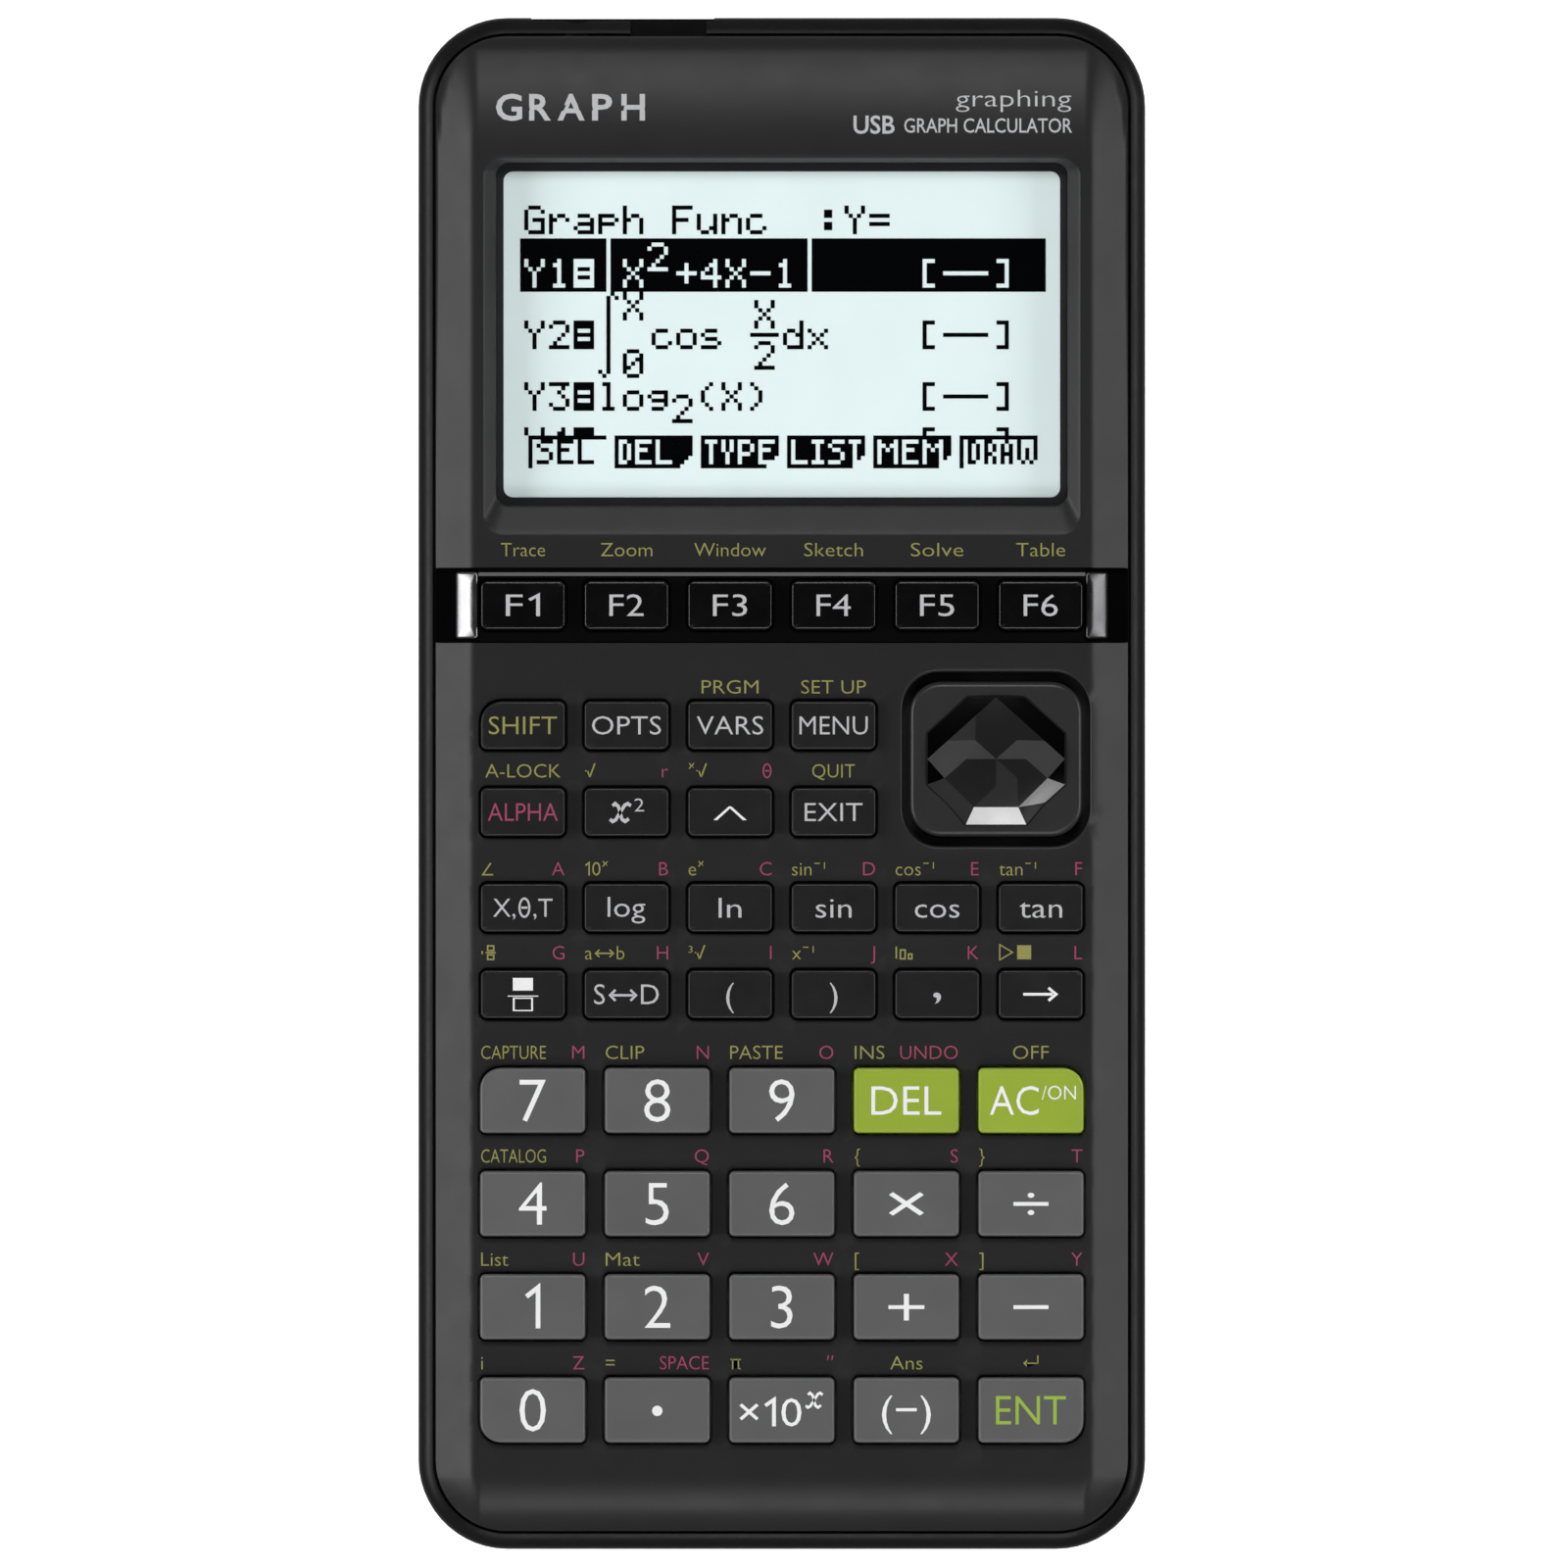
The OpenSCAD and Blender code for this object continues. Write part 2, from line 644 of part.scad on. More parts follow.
module battery_cover() color([0.13, 0.13, 0.13]) {
    z1 = foot_h + cover_h;
    difference() {
        union() {
            plate(cover[0], cover[1], 1.0, foot_h, z1, [0, cover_y]);
            both_sides() block(hook_w, 2.4, foot_h + 0.8, z1, [hook_x, cover_y + cover[1] / 2 + 0.4]);
        }
        // Grip grooves by the latch, and the latch's slits
        for (i = [0:4])
            block(16, 0.7, foot_h - 1, foot_h + 0.4, [0, cover_y - cover[1] / 2 + 6.5 + i * 1.5]);
        both_sides() block(0.8, 7, foot_h - 1, z1 + 1, [10.5, cover_y - cover[1] / 2 + 3.4]);
        translate([0, cover_y - cover[1] / 2 - 1.5, foot_h - 5.5]) sphere(r = 7);
    }
}

// ---------- screws and feet ----------

// Pan-head screw that points up, with its head's face at z
module screw(at, z, head_r, head_h, shank_r, length) {
    difference() {
        union() {
            rod(head_r, z, z + head_h, at);
            rod(shank_r, z + head_h - 0.1, z + head_h + length, at);
        }
        block(0.5, head_r * 1.3, z - 1, z + head_h * 0.55, at);
        block(head_r * 1.3, 0.5, z - 1, z + head_h * 0.55, at);
    }
}

module screws() color([0.3, 0.3, 0.31]) both_sides() {
    for (p = case_screws) screw(p, 3.65, 1.6, 1.3, 0.85, 10.2);
    for (p = board_screws) screw(p, board_top - key_board_h - 1.05, 1.4, 1.0, 0.7, 4.6);
    for (p = main_screws) screw(p, main_top - main_h - 1.05, 1.4, 1.0, 0.7, 3.2);
}

module feet() color([0.08, 0.08, 0.08]) both_sides() for (p = feet_at) rod(foot_r, 0, foot_h + 0.75, p);

front_case();
rear_case();
display_window();
display_panel();
function_panel();
key_mat();
circuit_boards();
batteries();
screws();
feet();
battery_cover();
cursor_pivot();
cursor_pad();
restart_button();
for (k = KEYS) key(k);
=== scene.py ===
"""Looks of the graphing calculator: smooth outer skins, keycaps with their legends,
the cut cursor pad with painted reflections on its facets, the dot-matrix picture, plastics with a moulded
texture, soft light, and some painted light and shade."""

import functools
import math

import bmesh
import bpy
import numpy as np
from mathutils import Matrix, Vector
from mathutils.geometry import delaunay_2d_cdt


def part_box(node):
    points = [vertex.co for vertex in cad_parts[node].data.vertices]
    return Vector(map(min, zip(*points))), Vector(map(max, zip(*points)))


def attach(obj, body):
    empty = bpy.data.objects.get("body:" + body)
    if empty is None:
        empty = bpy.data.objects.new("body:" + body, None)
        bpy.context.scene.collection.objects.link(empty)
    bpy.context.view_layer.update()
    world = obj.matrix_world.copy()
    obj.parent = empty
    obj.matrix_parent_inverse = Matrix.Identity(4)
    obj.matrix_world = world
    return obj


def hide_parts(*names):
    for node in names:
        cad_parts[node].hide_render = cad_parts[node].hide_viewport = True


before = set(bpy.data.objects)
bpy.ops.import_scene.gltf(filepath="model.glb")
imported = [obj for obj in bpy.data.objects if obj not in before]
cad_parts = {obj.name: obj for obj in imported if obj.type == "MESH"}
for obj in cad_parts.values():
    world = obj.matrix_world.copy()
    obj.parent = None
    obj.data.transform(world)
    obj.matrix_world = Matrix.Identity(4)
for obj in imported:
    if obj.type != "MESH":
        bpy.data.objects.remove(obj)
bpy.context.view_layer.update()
scene = bpy.context.scene
MM = 0.001


@functools.lru_cache(maxsize=None)
def span(node):
    """A node's box in millimetres: low x, y, z and high x, y, z."""
    low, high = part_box(node)
    return [v / MM for v in (*low, *high)]


# ---- materials

def lin(v):
    v /= 255
    return v / 12.92 if v <= 0.04045 else ((v + 0.055) / 1.055) ** 2.4


def rgb(r, g, b):
    return lin(r), lin(g), lin(b)


def noise(nt, coord, size_mm, detail=3.0, rough=0.5):
    n = nt.nodes.new("ShaderNodeTexNoise")
    n.inputs["Scale"].default_value = 1 / (size_mm * MM)
    n.inputs["Detail"].default_value = detail
    n.inputs["Roughness"].default_value = rough
    nt.links.new(coord, n.inputs["Vector"])
    return n.outputs["Fac"]


def spread(nt, value, low, high, from_low=0.3, from_high=0.7):
    m = nt.nodes.new("ShaderNodeMapRange")
    for name, v in (("From Min", from_low), ("From Max", from_high), ("To Min", low), ("To Max", high)):
        m.inputs[name].default_value = v
    nt.links.new(value, m.inputs["Value"])
    return m.outputs["Result"]


def blend(nt, fac, a, b):
    m = nt.nodes.new("ShaderNodeMix")
    m.data_type = "RGBA"
    nt.links.new(fac, m.inputs[0])
    for socket, v in ((m.inputs[6], a), (m.inputs[7], b)):
        if isinstance(v, tuple):
            socket.default_value = (*v, 1)
        else:
            nt.links.new(v, socket)
    return m.outputs[2]


def combine(nt, operation, a, b):
    m = nt.nodes.new("ShaderNodeMath")
    m.operation = operation
    nt.links.new(a, m.inputs[0])
    nt.links.new(b, m.inputs[1])
    return m.outputs[0]


def material(name, color, rough=0.5, spec=0.5, grain=0.0, grain_mm=0.22, mottle=0.05, rough_var=0.05,
             metallic=0.0, wear=0.0, dust=0.0, pattern=None, painted_glow=0.0):
    """Moulded or printed surface: colour mottle, roughness patches, fine grain, worn edges, dust, and painted
    glow where painted_glow is set.
    """
    m = bpy.data.materials.new(name)
    m.use_nodes = True
    nt = m.node_tree
    bsdf = nt.nodes["Principled BSDF"]
    coord = nt.nodes.new("ShaderNodeTexCoord").outputs["Object"]
    dark = tuple(c * (1 - mottle) for c in color)
    pale = tuple(c * (1 + mottle) for c in color)
    tone = blend(nt, spread(nt, noise(nt, coord, 9.0, 5.0, 0.6), 0.0, 1.0), dark, pale)
    if pattern:
        tone = pattern(nt, coord, tone)
    if wear:
        g = nt.nodes.new("ShaderNodeNewGeometry").outputs["Pointiness"]
        patch = combine(nt, "MULTIPLY", spread(nt, g, 0.0, wear, 0.53, 0.62),
                        spread(nt, noise(nt, coord, 1.5), 0.3, 1.0))
        tone = blend(nt, patch, tone, tuple(min(1, c * 1.8 + 0.03) for c in color))
    if dust:
        specks = spread(nt, noise(nt, coord, 0.45, 2.0, 0.7), 0.0, dust, 0.62, 0.72)
        tone = blend(nt, specks, tone, tuple(min(1, c * 1.5 + 0.05) for c in color))
    nt.links.new(tone, bsdf.inputs["Base Color"])
    nt.links.new(spread(nt, noise(nt, coord, 4.0, 4.0, 0.6), rough - rough_var, rough + rough_var),
                 bsdf.inputs["Roughness"])
    bsdf.inputs["Specular IOR Level"].default_value = spec
    bsdf.inputs["Metallic"].default_value = metallic
    # Painted glow: the surface emits its own tone, standing in for light.
    if painted_glow:
        nt.links.new(tone, bsdf.inputs["Emission Color"])
        bsdf.inputs["Emission Strength"].default_value = painted_glow
    if grain:
        bump = nt.nodes.new("ShaderNodeBump")
        bump.inputs["Strength"].default_value = 1.0
        bump.inputs["Distance"].default_value = grain * MM
        nt.links.new(noise(nt, coord, grain_mm, 2.0, 0.6), bump.inputs["Height"])
        nt.links.new(bump.outputs["Normal"], bsdf.inputs["Normal"])
    return m


def clear(name, alpha):
    """Clear sheet: faint colour with a polished surface and a few fine marks."""
    m = material(name, (0.03, 0.035, 0.035), 0.04, 0.12, mottle=0.03, rough_var=0.02)
    m.node_tree.nodes["Principled BSDF"].inputs["Alpha"].default_value = alpha
    return m


def sleeve_bands(nt, coord, tone):
    """Battery sleeve: a pale band and a dark body along the cell."""
    axis = nt.nodes.new("ShaderNodeSeparateXYZ")
    nt.links.new(coord, axis.inputs[0])
    step = spread(nt, axis.outputs["Y"], 0.0, 1.0, 0.0640, 0.0642)
    return blend(nt, step, tone, rgb(196, 160, 84))


def ink(tone, color, mottle):
    return material("print_" + tone, color, 0.5, 0.4, grain=0.002, mottle=mottle)


def cut(tone, grey, spec, mottle=0.15):
    """A painted reflection for the cursor pad's facets: a fixed grey that stands in for the light or dark the
    facet mirrors.
    """
    return material("cursor_painted_reflection_" + tone, rgb(grey, grey, grey), 0.2, spec, mottle=mottle, rough_var=0.04)


M = {
    "shell": material("shell_plastic", rgb(33, 33, 34), 0.40, 0.24, grain=0.005, wear=0.12, dust=0.03,
                      rough_var=0.02),
    "rear": material("rear_plastic", rgb(20, 20, 21), 0.36, 0.13, grain=0.012, grain_mm=0.35, wear=0.12,
                     dust=0.05),
    "strip": material("strip_gloss", rgb(9, 9, 10), 0.09, 0.5, mottle=0.1, rough_var=0.02, dust=0.02),
    # Strip's rolled ends and lower soft edge: painted shade, a darker copy of the gloss black with no
    # reflection, standing in for the dark it mirrors there.
    "strip_end_painted_shade": material("strip_painted_shade", rgb(5, 5, 6), 0.4, 0.0, mottle=0.1, rough_var=0.05, dust=0.02),
    "strip_edge": material("strip_edge", rgb(9, 9, 10), 0.14, 0.17, mottle=0.1, rough_var=0.03),
    "fkey": material("function_key_plastic", rgb(6, 6, 7), 0.22, 0.45, grain=0.002, rough_var=0.04, wear=0.5),
    "dark_key": material("dark_key_plastic", rgb(27, 27, 28), 0.36, 0.3, grain=0.004, wear=0.5, dust=0.03),
    "grey_key": material("grey_key_plastic", rgb(90, 90, 91), 0.40, 0.4, grain=0.004, wear=0.3, dust=0.03),
    "green_key": material("green_key_plastic", rgb(146, 168, 52), 0.38, 0.4, grain=0.004, wear=0.25,
                          dust=0.03),
    "cursor": material("cursor_gloss", rgb(44, 44, 45), 0.3, 0.25, mottle=0.1, rough_var=0.03),
    # Cursor pad facet greys: painted reflections, one fixed grey per facet in place of the softbox or dark
    # studio it mirrors.
    "facet_painted_black": material("cursor_painted_reflection_black", rgb(2, 2, 3), 0.2, 0.15, mottle=0.1, rough_var=0.02),
    "facet_painted_dim": cut("dim", 30, 0.25),
    "facet_painted_soft": cut("soft", 44, 0.25),
    "facet_painted_mid": cut("mid", 62, 0.3),
    "facet_painted_pale": cut("pale", 128, 0.4),
    "facet_painted_bright": cut("bright", 212, 0.4, 0.08),
    "chrome": material("bright_trim", (0.2, 0.2, 0.203), 0.3, 0.5, metallic=1.0, rough_var=0.05, mottle=0.02),
    # Right bar's trim: painted shade, a darker copy of the left bar's chrome standing in for the weaker light
    # on that side.
    "chrome_painted_shade": material("bright_trim_painted_shade", (0.075, 0.075, 0.077), 0.3, 0.5, metallic=1.0, rough_var=0.05,
                           mottle=0.02),
    "white": ink("white", rgb(236, 236, 236), 0.03),
    "grey": ink("grey", rgb(186, 186, 188), 0.05),
    "yellow": ink("yellow", rgb(142, 140, 78), 0.06),
    "pink": ink("pink", rgb(150, 62, 92), 0.06),
    "green": ink("green", rgb(148, 178, 64), 0.05),
    # The display's reflector has a painted glow: it emits a little light, though it has no backlight.
    "lcd": material("display_reflector_painted_glow", rgb(231, 247, 247), 0.55, 0.2, grain=0.001, grain_mm=0.12,
                    mottle=0.02, painted_glow=0.05),
    "dots": material("display_dots", rgb(1, 1, 3), 0.6, 0.0, mottle=0.05),
    "rubber": material("foot_rubber", rgb(24, 24, 24), 0.75, 0.3, grain=0.01, dust=0.1),
    "mat": material("mat_rubber", rgb(150, 150, 146), 0.7, 0.3, grain=0.006, dust=0.05),
    "steel": material("screw_steel", (0.18, 0.18, 0.19), 0.35, 0.5, metallic=1.0, rough_var=0.1, mottle=0.1),
    "plated": material("plated_steel", (0.62, 0.62, 0.6), 0.25, 0.5, metallic=1.0, rough_var=0.08),
    "board": material("board_mask", rgb(22, 84, 48), 0.35, 0.5, grain=0.003, mottle=0.12),
    "chip": material("chip_resin", rgb(26, 26, 27), 0.55, 0.4, grain=0.004),
    "sleeve": material("cell_sleeve", rgb(34, 34, 36), 0.3, 0.5, pattern=sleeve_bands, mottle=0.04),
    "print_black": material("print_black", rgb(34, 35, 36), 0.4, 0.3, mottle=0.05),
    "restart": material("restart_plastic", rgb(150, 48, 36), 0.4, 0.5, grain=0.003),
    "window": clear("window_clear", 0.02),
}


# ---- mesh tools

def rounded(w, l, r, at=(0, 0), n=8):
    """Rounded rectangle, counter-clockwise.

    r is one radius or four: top right, top left, bottom left, bottom right."""
    radii = r if isinstance(r, list) else [r] * 4
    pts = []
    for i, (sx, sy) in enumerate(((1, 1), (-1, 1), (-1, -1), (1, -1))):
        q = max(radii[i], 1e-3)
        cx, cy = sx * (w / 2 - q), sy * (l / 2 - q)
        for k in range(n + 1):
            a = math.radians(90 * i + 90 * k / n)
            pts.append((at[0] + cx + q * math.cos(a), at[1] + cy + q * math.sin(a)))
    return pts


def grown(size, grow, at, n):
    """Rounded rectangle of a width, length and corner radius, larger by grow all round."""
    w, l, r = size
    return rounded(w + 2 * grow, l + 2 * grow, r + grow, at, n)


def inside(px, py, loop):
    """Which points lie inside a closed loop."""
    x, y = np.asarray(px, float), np.asarray(py, float)
    hit = np.zeros(x.shape, bool)
    n = len(loop)
    for i in range(n):
        (x0, y0), (x1, y1) = loop[i], loop[(i + 1) % n]
        if y0 != y1:
            hit ^= ((y0 > y) != (y1 > y)) & (x < (x1 - x0) * (y - y0) / (y1 - y0) + x0)
    return hit


class Shape:
    """Collects loops and faces in millimetres and makes one welded mesh of them."""

    def __init__(self):
        self.v, self.f, self.m = [], [], []

    def loop(self, pts, z):
        """Adds a loop. z is a number, a list, or a function of x and y."""
        first = len(self.v)
        for i, (x, y) in enumerate(pts):
            self.v.append((x, y, z(x, y) if callable(z) else z[i] if isinstance(z, list) else z))
        return list(range(first, len(self.v)))

    def face(self, ids, mat=0):
        self.f.append(tuple(ids))
        self.m.append(mat)

    def skirt(self, a, b, closed=True, skip=None):
        n = len(a)
        for i in range(n if closed else n - 1):
            if skip is None or not skip(i):
                j = (i + 1) % n
                self.face((a[i], a[j], b[j], b[i]))

    def chain(self, loops):
        """Skirts from each loop to the next."""
        for a, b in zip(loops, loops[1:]):
            self.skirt(a, b)

    def fill(self, outer, holes, z, grid=(), drop=None, edges=()):
        """Triangulates a flat region with holes, lifts it to z, and leaves out what drop says."""
        pts, ends = [], []
        for lp in [outer, *holes]:
            first = len(pts)
            pts += lp
            ends += [(first + i, first + (i + 1) % len(lp)) for i in range(len(lp))]
        first = len(pts)
        for a, b in edges:
            pts += [a, b]
            ends.append((len(pts) - 2, len(pts) - 1))
        pts += list(grid)
        made = delaunay_2d_cdt([Vector(p) for p in pts], ends, [], 0, 1e-5, False)
        co = np.array([(p[0], p[1]) for p in made[0]])
        tris = np.array([t for t in made[2] if len(t) == 3])
        mid = co[tris].mean(axis=1)
        keep = inside(mid[:, 0], mid[:, 1], outer)
        for lp in holes:
            keep &= ~inside(mid[:, 0], mid[:, 1], lp)
        if drop is not None:
            keep &= ~drop(mid[:, 0], mid[:, 1])
        ids = self.loop([(float(x), float(y)) for x, y in co], z)
        for t in tris[keep]:
            self.face([ids[k] for k in t])

    def make(self, name, mats, body, slot=None, angle=32, weld=2e-4):
        mesh = bpy.data.meshes.new(name)
        mesh.from_pydata([(x * MM, y * MM, z * MM) for x, y, z in self.v], [], self.f)
        for m in mats:
            mesh.materials.append(m)
        mesh.polygons.foreach_set("material_index", self.m)
        bm = bmesh.new()
        bm.from_mesh(mesh)
        bmesh.ops.remove_doubles(bm, verts=bm.verts, dist=weld * MM)
        bmesh.ops.delete(bm, geom=[v for v in bm.verts if not v.link_faces], context="VERTS")
        bmesh.ops.recalc_face_normals(bm, faces=bm.faces)
        bm.to_mesh(mesh)
        bm.free()
        if angle:
            mesh.shade_smooth()
            mesh.set_sharp_from_angle(angle=math.radians(angle))
        o = bpy.data.objects.new(name, mesh)
        scene.collection.objects.link(o)
        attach(o, body)
        return o


# ---- sizes, from the frame

WALL, FACE, INNER_STEP = 1.8, 2.0, 4.1   # front shell: wall, face, and how deep its wall's inner step lies
TONGUE = 1.65                            # hangs below the shell's lower edge
fx0, fy0, front_base, fx1, fy1, face_z = span("front_case")
front_base += TONGUE
half_w, half_l = (fx1 - fx0) / 2, (fy1 - fy0) / 2
front_r = 8.15
SIDE_ROLL, END_ROLL, TOP_ROLL, DROP = 5.0, 6.4, 13.2, 3.0    # how wide the edges roll off, how deep
END_POWER, TOP_POWER = 1.25, 1.82        # how squarely a side's roll and an end's meet
BROW_DEEP, BROW_WIDE = 0.9, 1.6          # extra roll along the display end
CHANNEL_DEEP = 1.05                      # channel of the function strip
panel = span("function_panel")
panel_low, panel_high = panel[1] - 0.05, panel[4] + 0.05
win = span("display_window")
opening = (65.2, 39.1, (win[1] + win[4]) / 2)    # display opening: width, length, middle in y
OPENING_R = 1.45
pad = span("cursor_pad")
pad_at = ((pad[0] + pad[3]) / 2, (pad[1] + pad[4]) / 2)
WELL = (21.4, 19.9, 4.2)                 # cursor pad's well: width, length, corner radius
FLANGE, PAD = (22.4, 20.9, 4.2), (19.7, 17.7, 3.6)           # its flange and its top, likewise
body_top = pad[5]
roof = face_z - FACE


def arc_drop(width, t):
    r = (width * width + DROP * DROP) / (2 * DROP)
    return r - math.sqrt(max(r * r - (width * t) ** 2, 0))


BLEND = 2.2                              # a side's slope meets the flat face in this radius
SLOPE = math.radians(34.7)


def side_fall(t):
    x, bend = SIDE_ROLL * t, BLEND * math.sin(SLOPE)
    if x < bend:
        return BLEND - math.sqrt(BLEND * BLEND - x * x)
    return BLEND * (1 - math.cos(SLOPE)) + (x - bend) * math.tan(SLOPE)


def skin(x, y):
    """Height of the front shell's skin: flat, with rolled edges and a longer brow at the top."""
    u = max(0.0, 1 - (half_w - abs(x)) / SIDE_ROLL)
    top = y > 0
    width = TOP_ROLL if top else END_ROLL
    v = max(0.0, 1 - (half_l - abs(y)) / width)
    p = TOP_POWER if top else END_POWER
    a, b = min(u, 1) ** p, min(v, 1) ** p
    if a + b <= 0:
        return face_z
    rho = min((a + b) ** (1 / p), 1.0)
    soft = BROW_DEEP * max(0.0, 1 - (half_l - y) / BROW_WIDE) ** 2 if top else 0.0
    return face_z - (side_fall(rho) * a + arc_drop(width, rho) * b) / (a + b) - soft


KEYS = [n for n in sorted(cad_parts) if n.startswith("key_") and n != "key_mat"]
NUMBER_KEYS = [n for n in KEYS if span(n)[3] - span(n)[0] > 12]
FLANGE_OUT, FLANGE_HIGH = 0.6, 0.8       # flange round a key's foot
# Keys with one large corner: 0 top right, 1 top left, 2 bottom left, 3 bottom right
CORNERS = {"key_shift": 1, "key_7": 1, "key_clear": 0, "key_0": 2, "key_execute": 3}


def key_plan(node):
    """Centre, width, depth and corner radii of a keycap."""
    b = span(node)
    size = (b[3] - b[0] - 2 * FLANGE_OUT, b[4] - b[1] - 2 * FLANGE_OUT)
    r = [0.6 if node in NUMBER_KEYS else 0.7] * 4
    if node in CORNERS:
        r[CORNERS[node]] = 2.4
    return ((b[0] + b[3]) / 2, (b[1] + b[4]) / 2), size, r


FUNCTION_KEYS = [n for n in KEYS if panel_low < key_plan(n)[0][1] < panel_high]


def key_loop(node, grow, n=7):
    at, (w, l), r = key_plan(node)
    return rounded(w + 2 * grow, l + 2 * grow, [max(q + grow, 0.05) for q in r], at, n)


# ---- front shell

GAP = 0.25                               # between a key and its hole
END_Y = 80                               # beyond this lies only the display end's wall


def sample(values):
    return sorted({round(v, 4) for v in values})


side_steps = [half_w - s for s in (0.35, 0.9, 1.6, 2.4, 3.1, 3.7, 4.0, 4.3, 4.6, 4.9, 5.2, 5.7, 6.4, 7.4)]
xs = sample([-v for v in side_steps] + side_steps + list(np.linspace(-31, 31, 24)))
top_steps = [half_l - s for s in (0.2, 0.45, 0.75, 1.1, 1.5, 2.1, 2.9, 3.7, 4.6, 5.5, 6.5, 7.5, 8.5, 9.5,
                                  10.6, 11.7, 12.6, 13.2, 14.0)]
end_steps = [s - half_l for s in (0.35, 0.8, 1.3, 1.9, 2.5, 3.2, 3.9, 4.6, 5.3, 5.9, 6.4, 6.9, 7.6)]
ys = sample(top_steps + end_steps + list(np.linspace(-76, 70, 60)))
channel_x = sample([-half_w, half_w] + xs)

usb_x = [-17.35, -8.65]                  # notch for the socket
lift = front_base + 1.15                 # its upper edge


def outline():
    """Outer outline, counter-clockwise, with points where the channel and the socket notch start."""
    loop = rounded(2 * half_w, 2 * half_l, front_r, (0, 0), 20)
    out = []
    for i, p in enumerate(loop):
        q = loop[(i + 1) % len(loop)]
        out.append(p)
        stops = []
        if abs(p[0] - q[0]) < 1e-6 and abs(p[1] - q[1]) > 20:
            stops = [(p[0], y) for y in (panel_low, panel_high)]
        elif abs(p[1] - q[1]) < 1e-6 and p[1] > 0 and abs(p[0] - q[0]) > 20:
            stops = [(x, p[1]) for x in usb_x]
        stops.sort(key=lambda s: math.hypot(s[0] - p[0], s[1] - p[1]))
        out += stops
    return out


def build_front():
    s = Shape()
    ring = outline()
    lip = 0.14
    holes = {n: key_loop(n, GAP) for n in KEYS}
    lips = {n: key_loop(n, GAP + lip) for n in KEYS}
    well, well_lip = grown(WELL, 0, pad_at, 10), grown(WELL, 0.4, pad_at, 10)
    ow, ol, oy = opening
    bevel_deep = 1.3
    bevel = rounded(ow + 3.2, ol + 4.1, 2.2, (0, oy - 1.45), 8)
    grid = [(x, y) for x in xs for y in ys]
    gx, gy = np.array([g[0] for g in grid]), np.array([g[1] for g in grid])

    def points(region_low, region_high, blocked, margin=0.3):
        ok = (gy > region_low + margin) & (gy < region_high - margin)
        ok &= inside(gx, gy, rounded(2 * half_w - 0.5, 2 * half_l - 0.5, front_r - 0.25, (0, 0), 20))
        for lp in blocked:
            cx, cy = np.mean([p[0] for p in lp]), np.mean([p[1] for p in lp])
            wide = [(px + math.copysign(margin, px - cx), py + math.copysign(margin, py - cy))
                    for px, py in lp]
            ok &= ~inside(gx, gy, wide)
        return [grid[i] for i in np.flatnonzero(ok)]

    # Two face regions with the channel for the strip between them
    upper = [p for p in ring if p[1] > panel_high - 1e-6]
    k = max(range(len(upper)), key=lambda i: (upper[i][0] > 0) * 1000 - upper[i][1])
    upper = upper[k:] + upper[:k]
    lower = [p for p in ring if p[1] < panel_low + 1e-6]
    k = max(range(len(lower)), key=lambda i: (lower[i][0] < 0) * 1000 + lower[i][1])
    lower = lower[k:] + lower[:k]
    line_high = [(x, panel_high) for x in channel_x[1:-1]]
    line_low = [(x, panel_low) for x in reversed(channel_x[1:-1])]
    upper_holes = [bevel]
    lower_holes = [lips[n] for n in KEYS if n not in FUNCTION_KEYS] + [well_lip]
    s.fill(upper + line_high, upper_holes, skin, grid=points(panel_high, 99, upper_holes))
    s.fill(lower + line_low, lower_holes, skin, grid=points(-99, panel_low, lower_holes))

    def floor(x, y):
        return skin(x, y) - CHANNEL_DEEP

    channel_edge = [(x, panel_low) for x in channel_x] + [(x, panel_high) for x in reversed(channel_x)]
    channel_holes = [holes[n] for n in FUNCTION_KEYS]
    s.fill(channel_edge, channel_holes, floor, grid=points(panel_low, panel_high, channel_holes))
    for y in (panel_low, panel_high):
        pts = [(x, y) for x in channel_x]
        s.skirt(s.loop(pts, skin), s.loop(pts, floor), closed=False)

    # Display opening: soft upper edge, slope, and a short wall down to the window
    start, last = bevel, rounded(ow + 0.3, ol + 0.3, 1.5, (0, oy), 8)
    loops = [s.loop(start, skin)]
    soft = 0.07
    for t in (0.03, 0.06, 0.1, 0.15, 0.22, 0.35, 0.6, 0.9, 0.96, 1.0):
        fall = (math.sqrt(t * t + soft * soft) - soft) / (math.sqrt(1 + soft * soft) - soft)
        pts = [(a[0] + (b[0] - a[0]) * t, a[1] + (b[1] - a[1]) * t) for a, b in zip(start, last)]
        loops.append(s.loop(pts, face_z - bevel_deep * fall))
    for grow, z in ((0.25, face_z - 1.34), (0.2, face_z - 1.42), (0.2, roof - 0.05)):
        loops.append(s.loop(rounded(ow + grow, ol + grow, OPENING_R, (0, oy), 8), z))
    s.chain(loops)

    # Holes for the keys and the cursor pad
    for n in KEYS:
        if n in FUNCTION_KEYS:
            loops = [s.loop(holes[n], floor)]
        else:
            loops = [s.loop(lips[n], skin)]
            for grow, d in ((GAP + lip * 0.45, 0.02), (GAP + lip * 0.12, 0.06), (GAP, 0.15)):
                loops.append(s.loop(key_loop(n, grow), lambda x, y: skin(x, y) - d))
        s.chain(loops + [s.loop(holes[n], roof)])
    loops = [s.loop(well_lip, skin)]
    for grow, d in ((0.24, 0.03), (0.1, 0.11), (0.02, 0.24), (0.0, 0.4)):
        loops.append(s.loop(grown(WELL, grow, pad_at, 10), face_z - d))
    s.chain(loops + [s.loop(well, roof)])

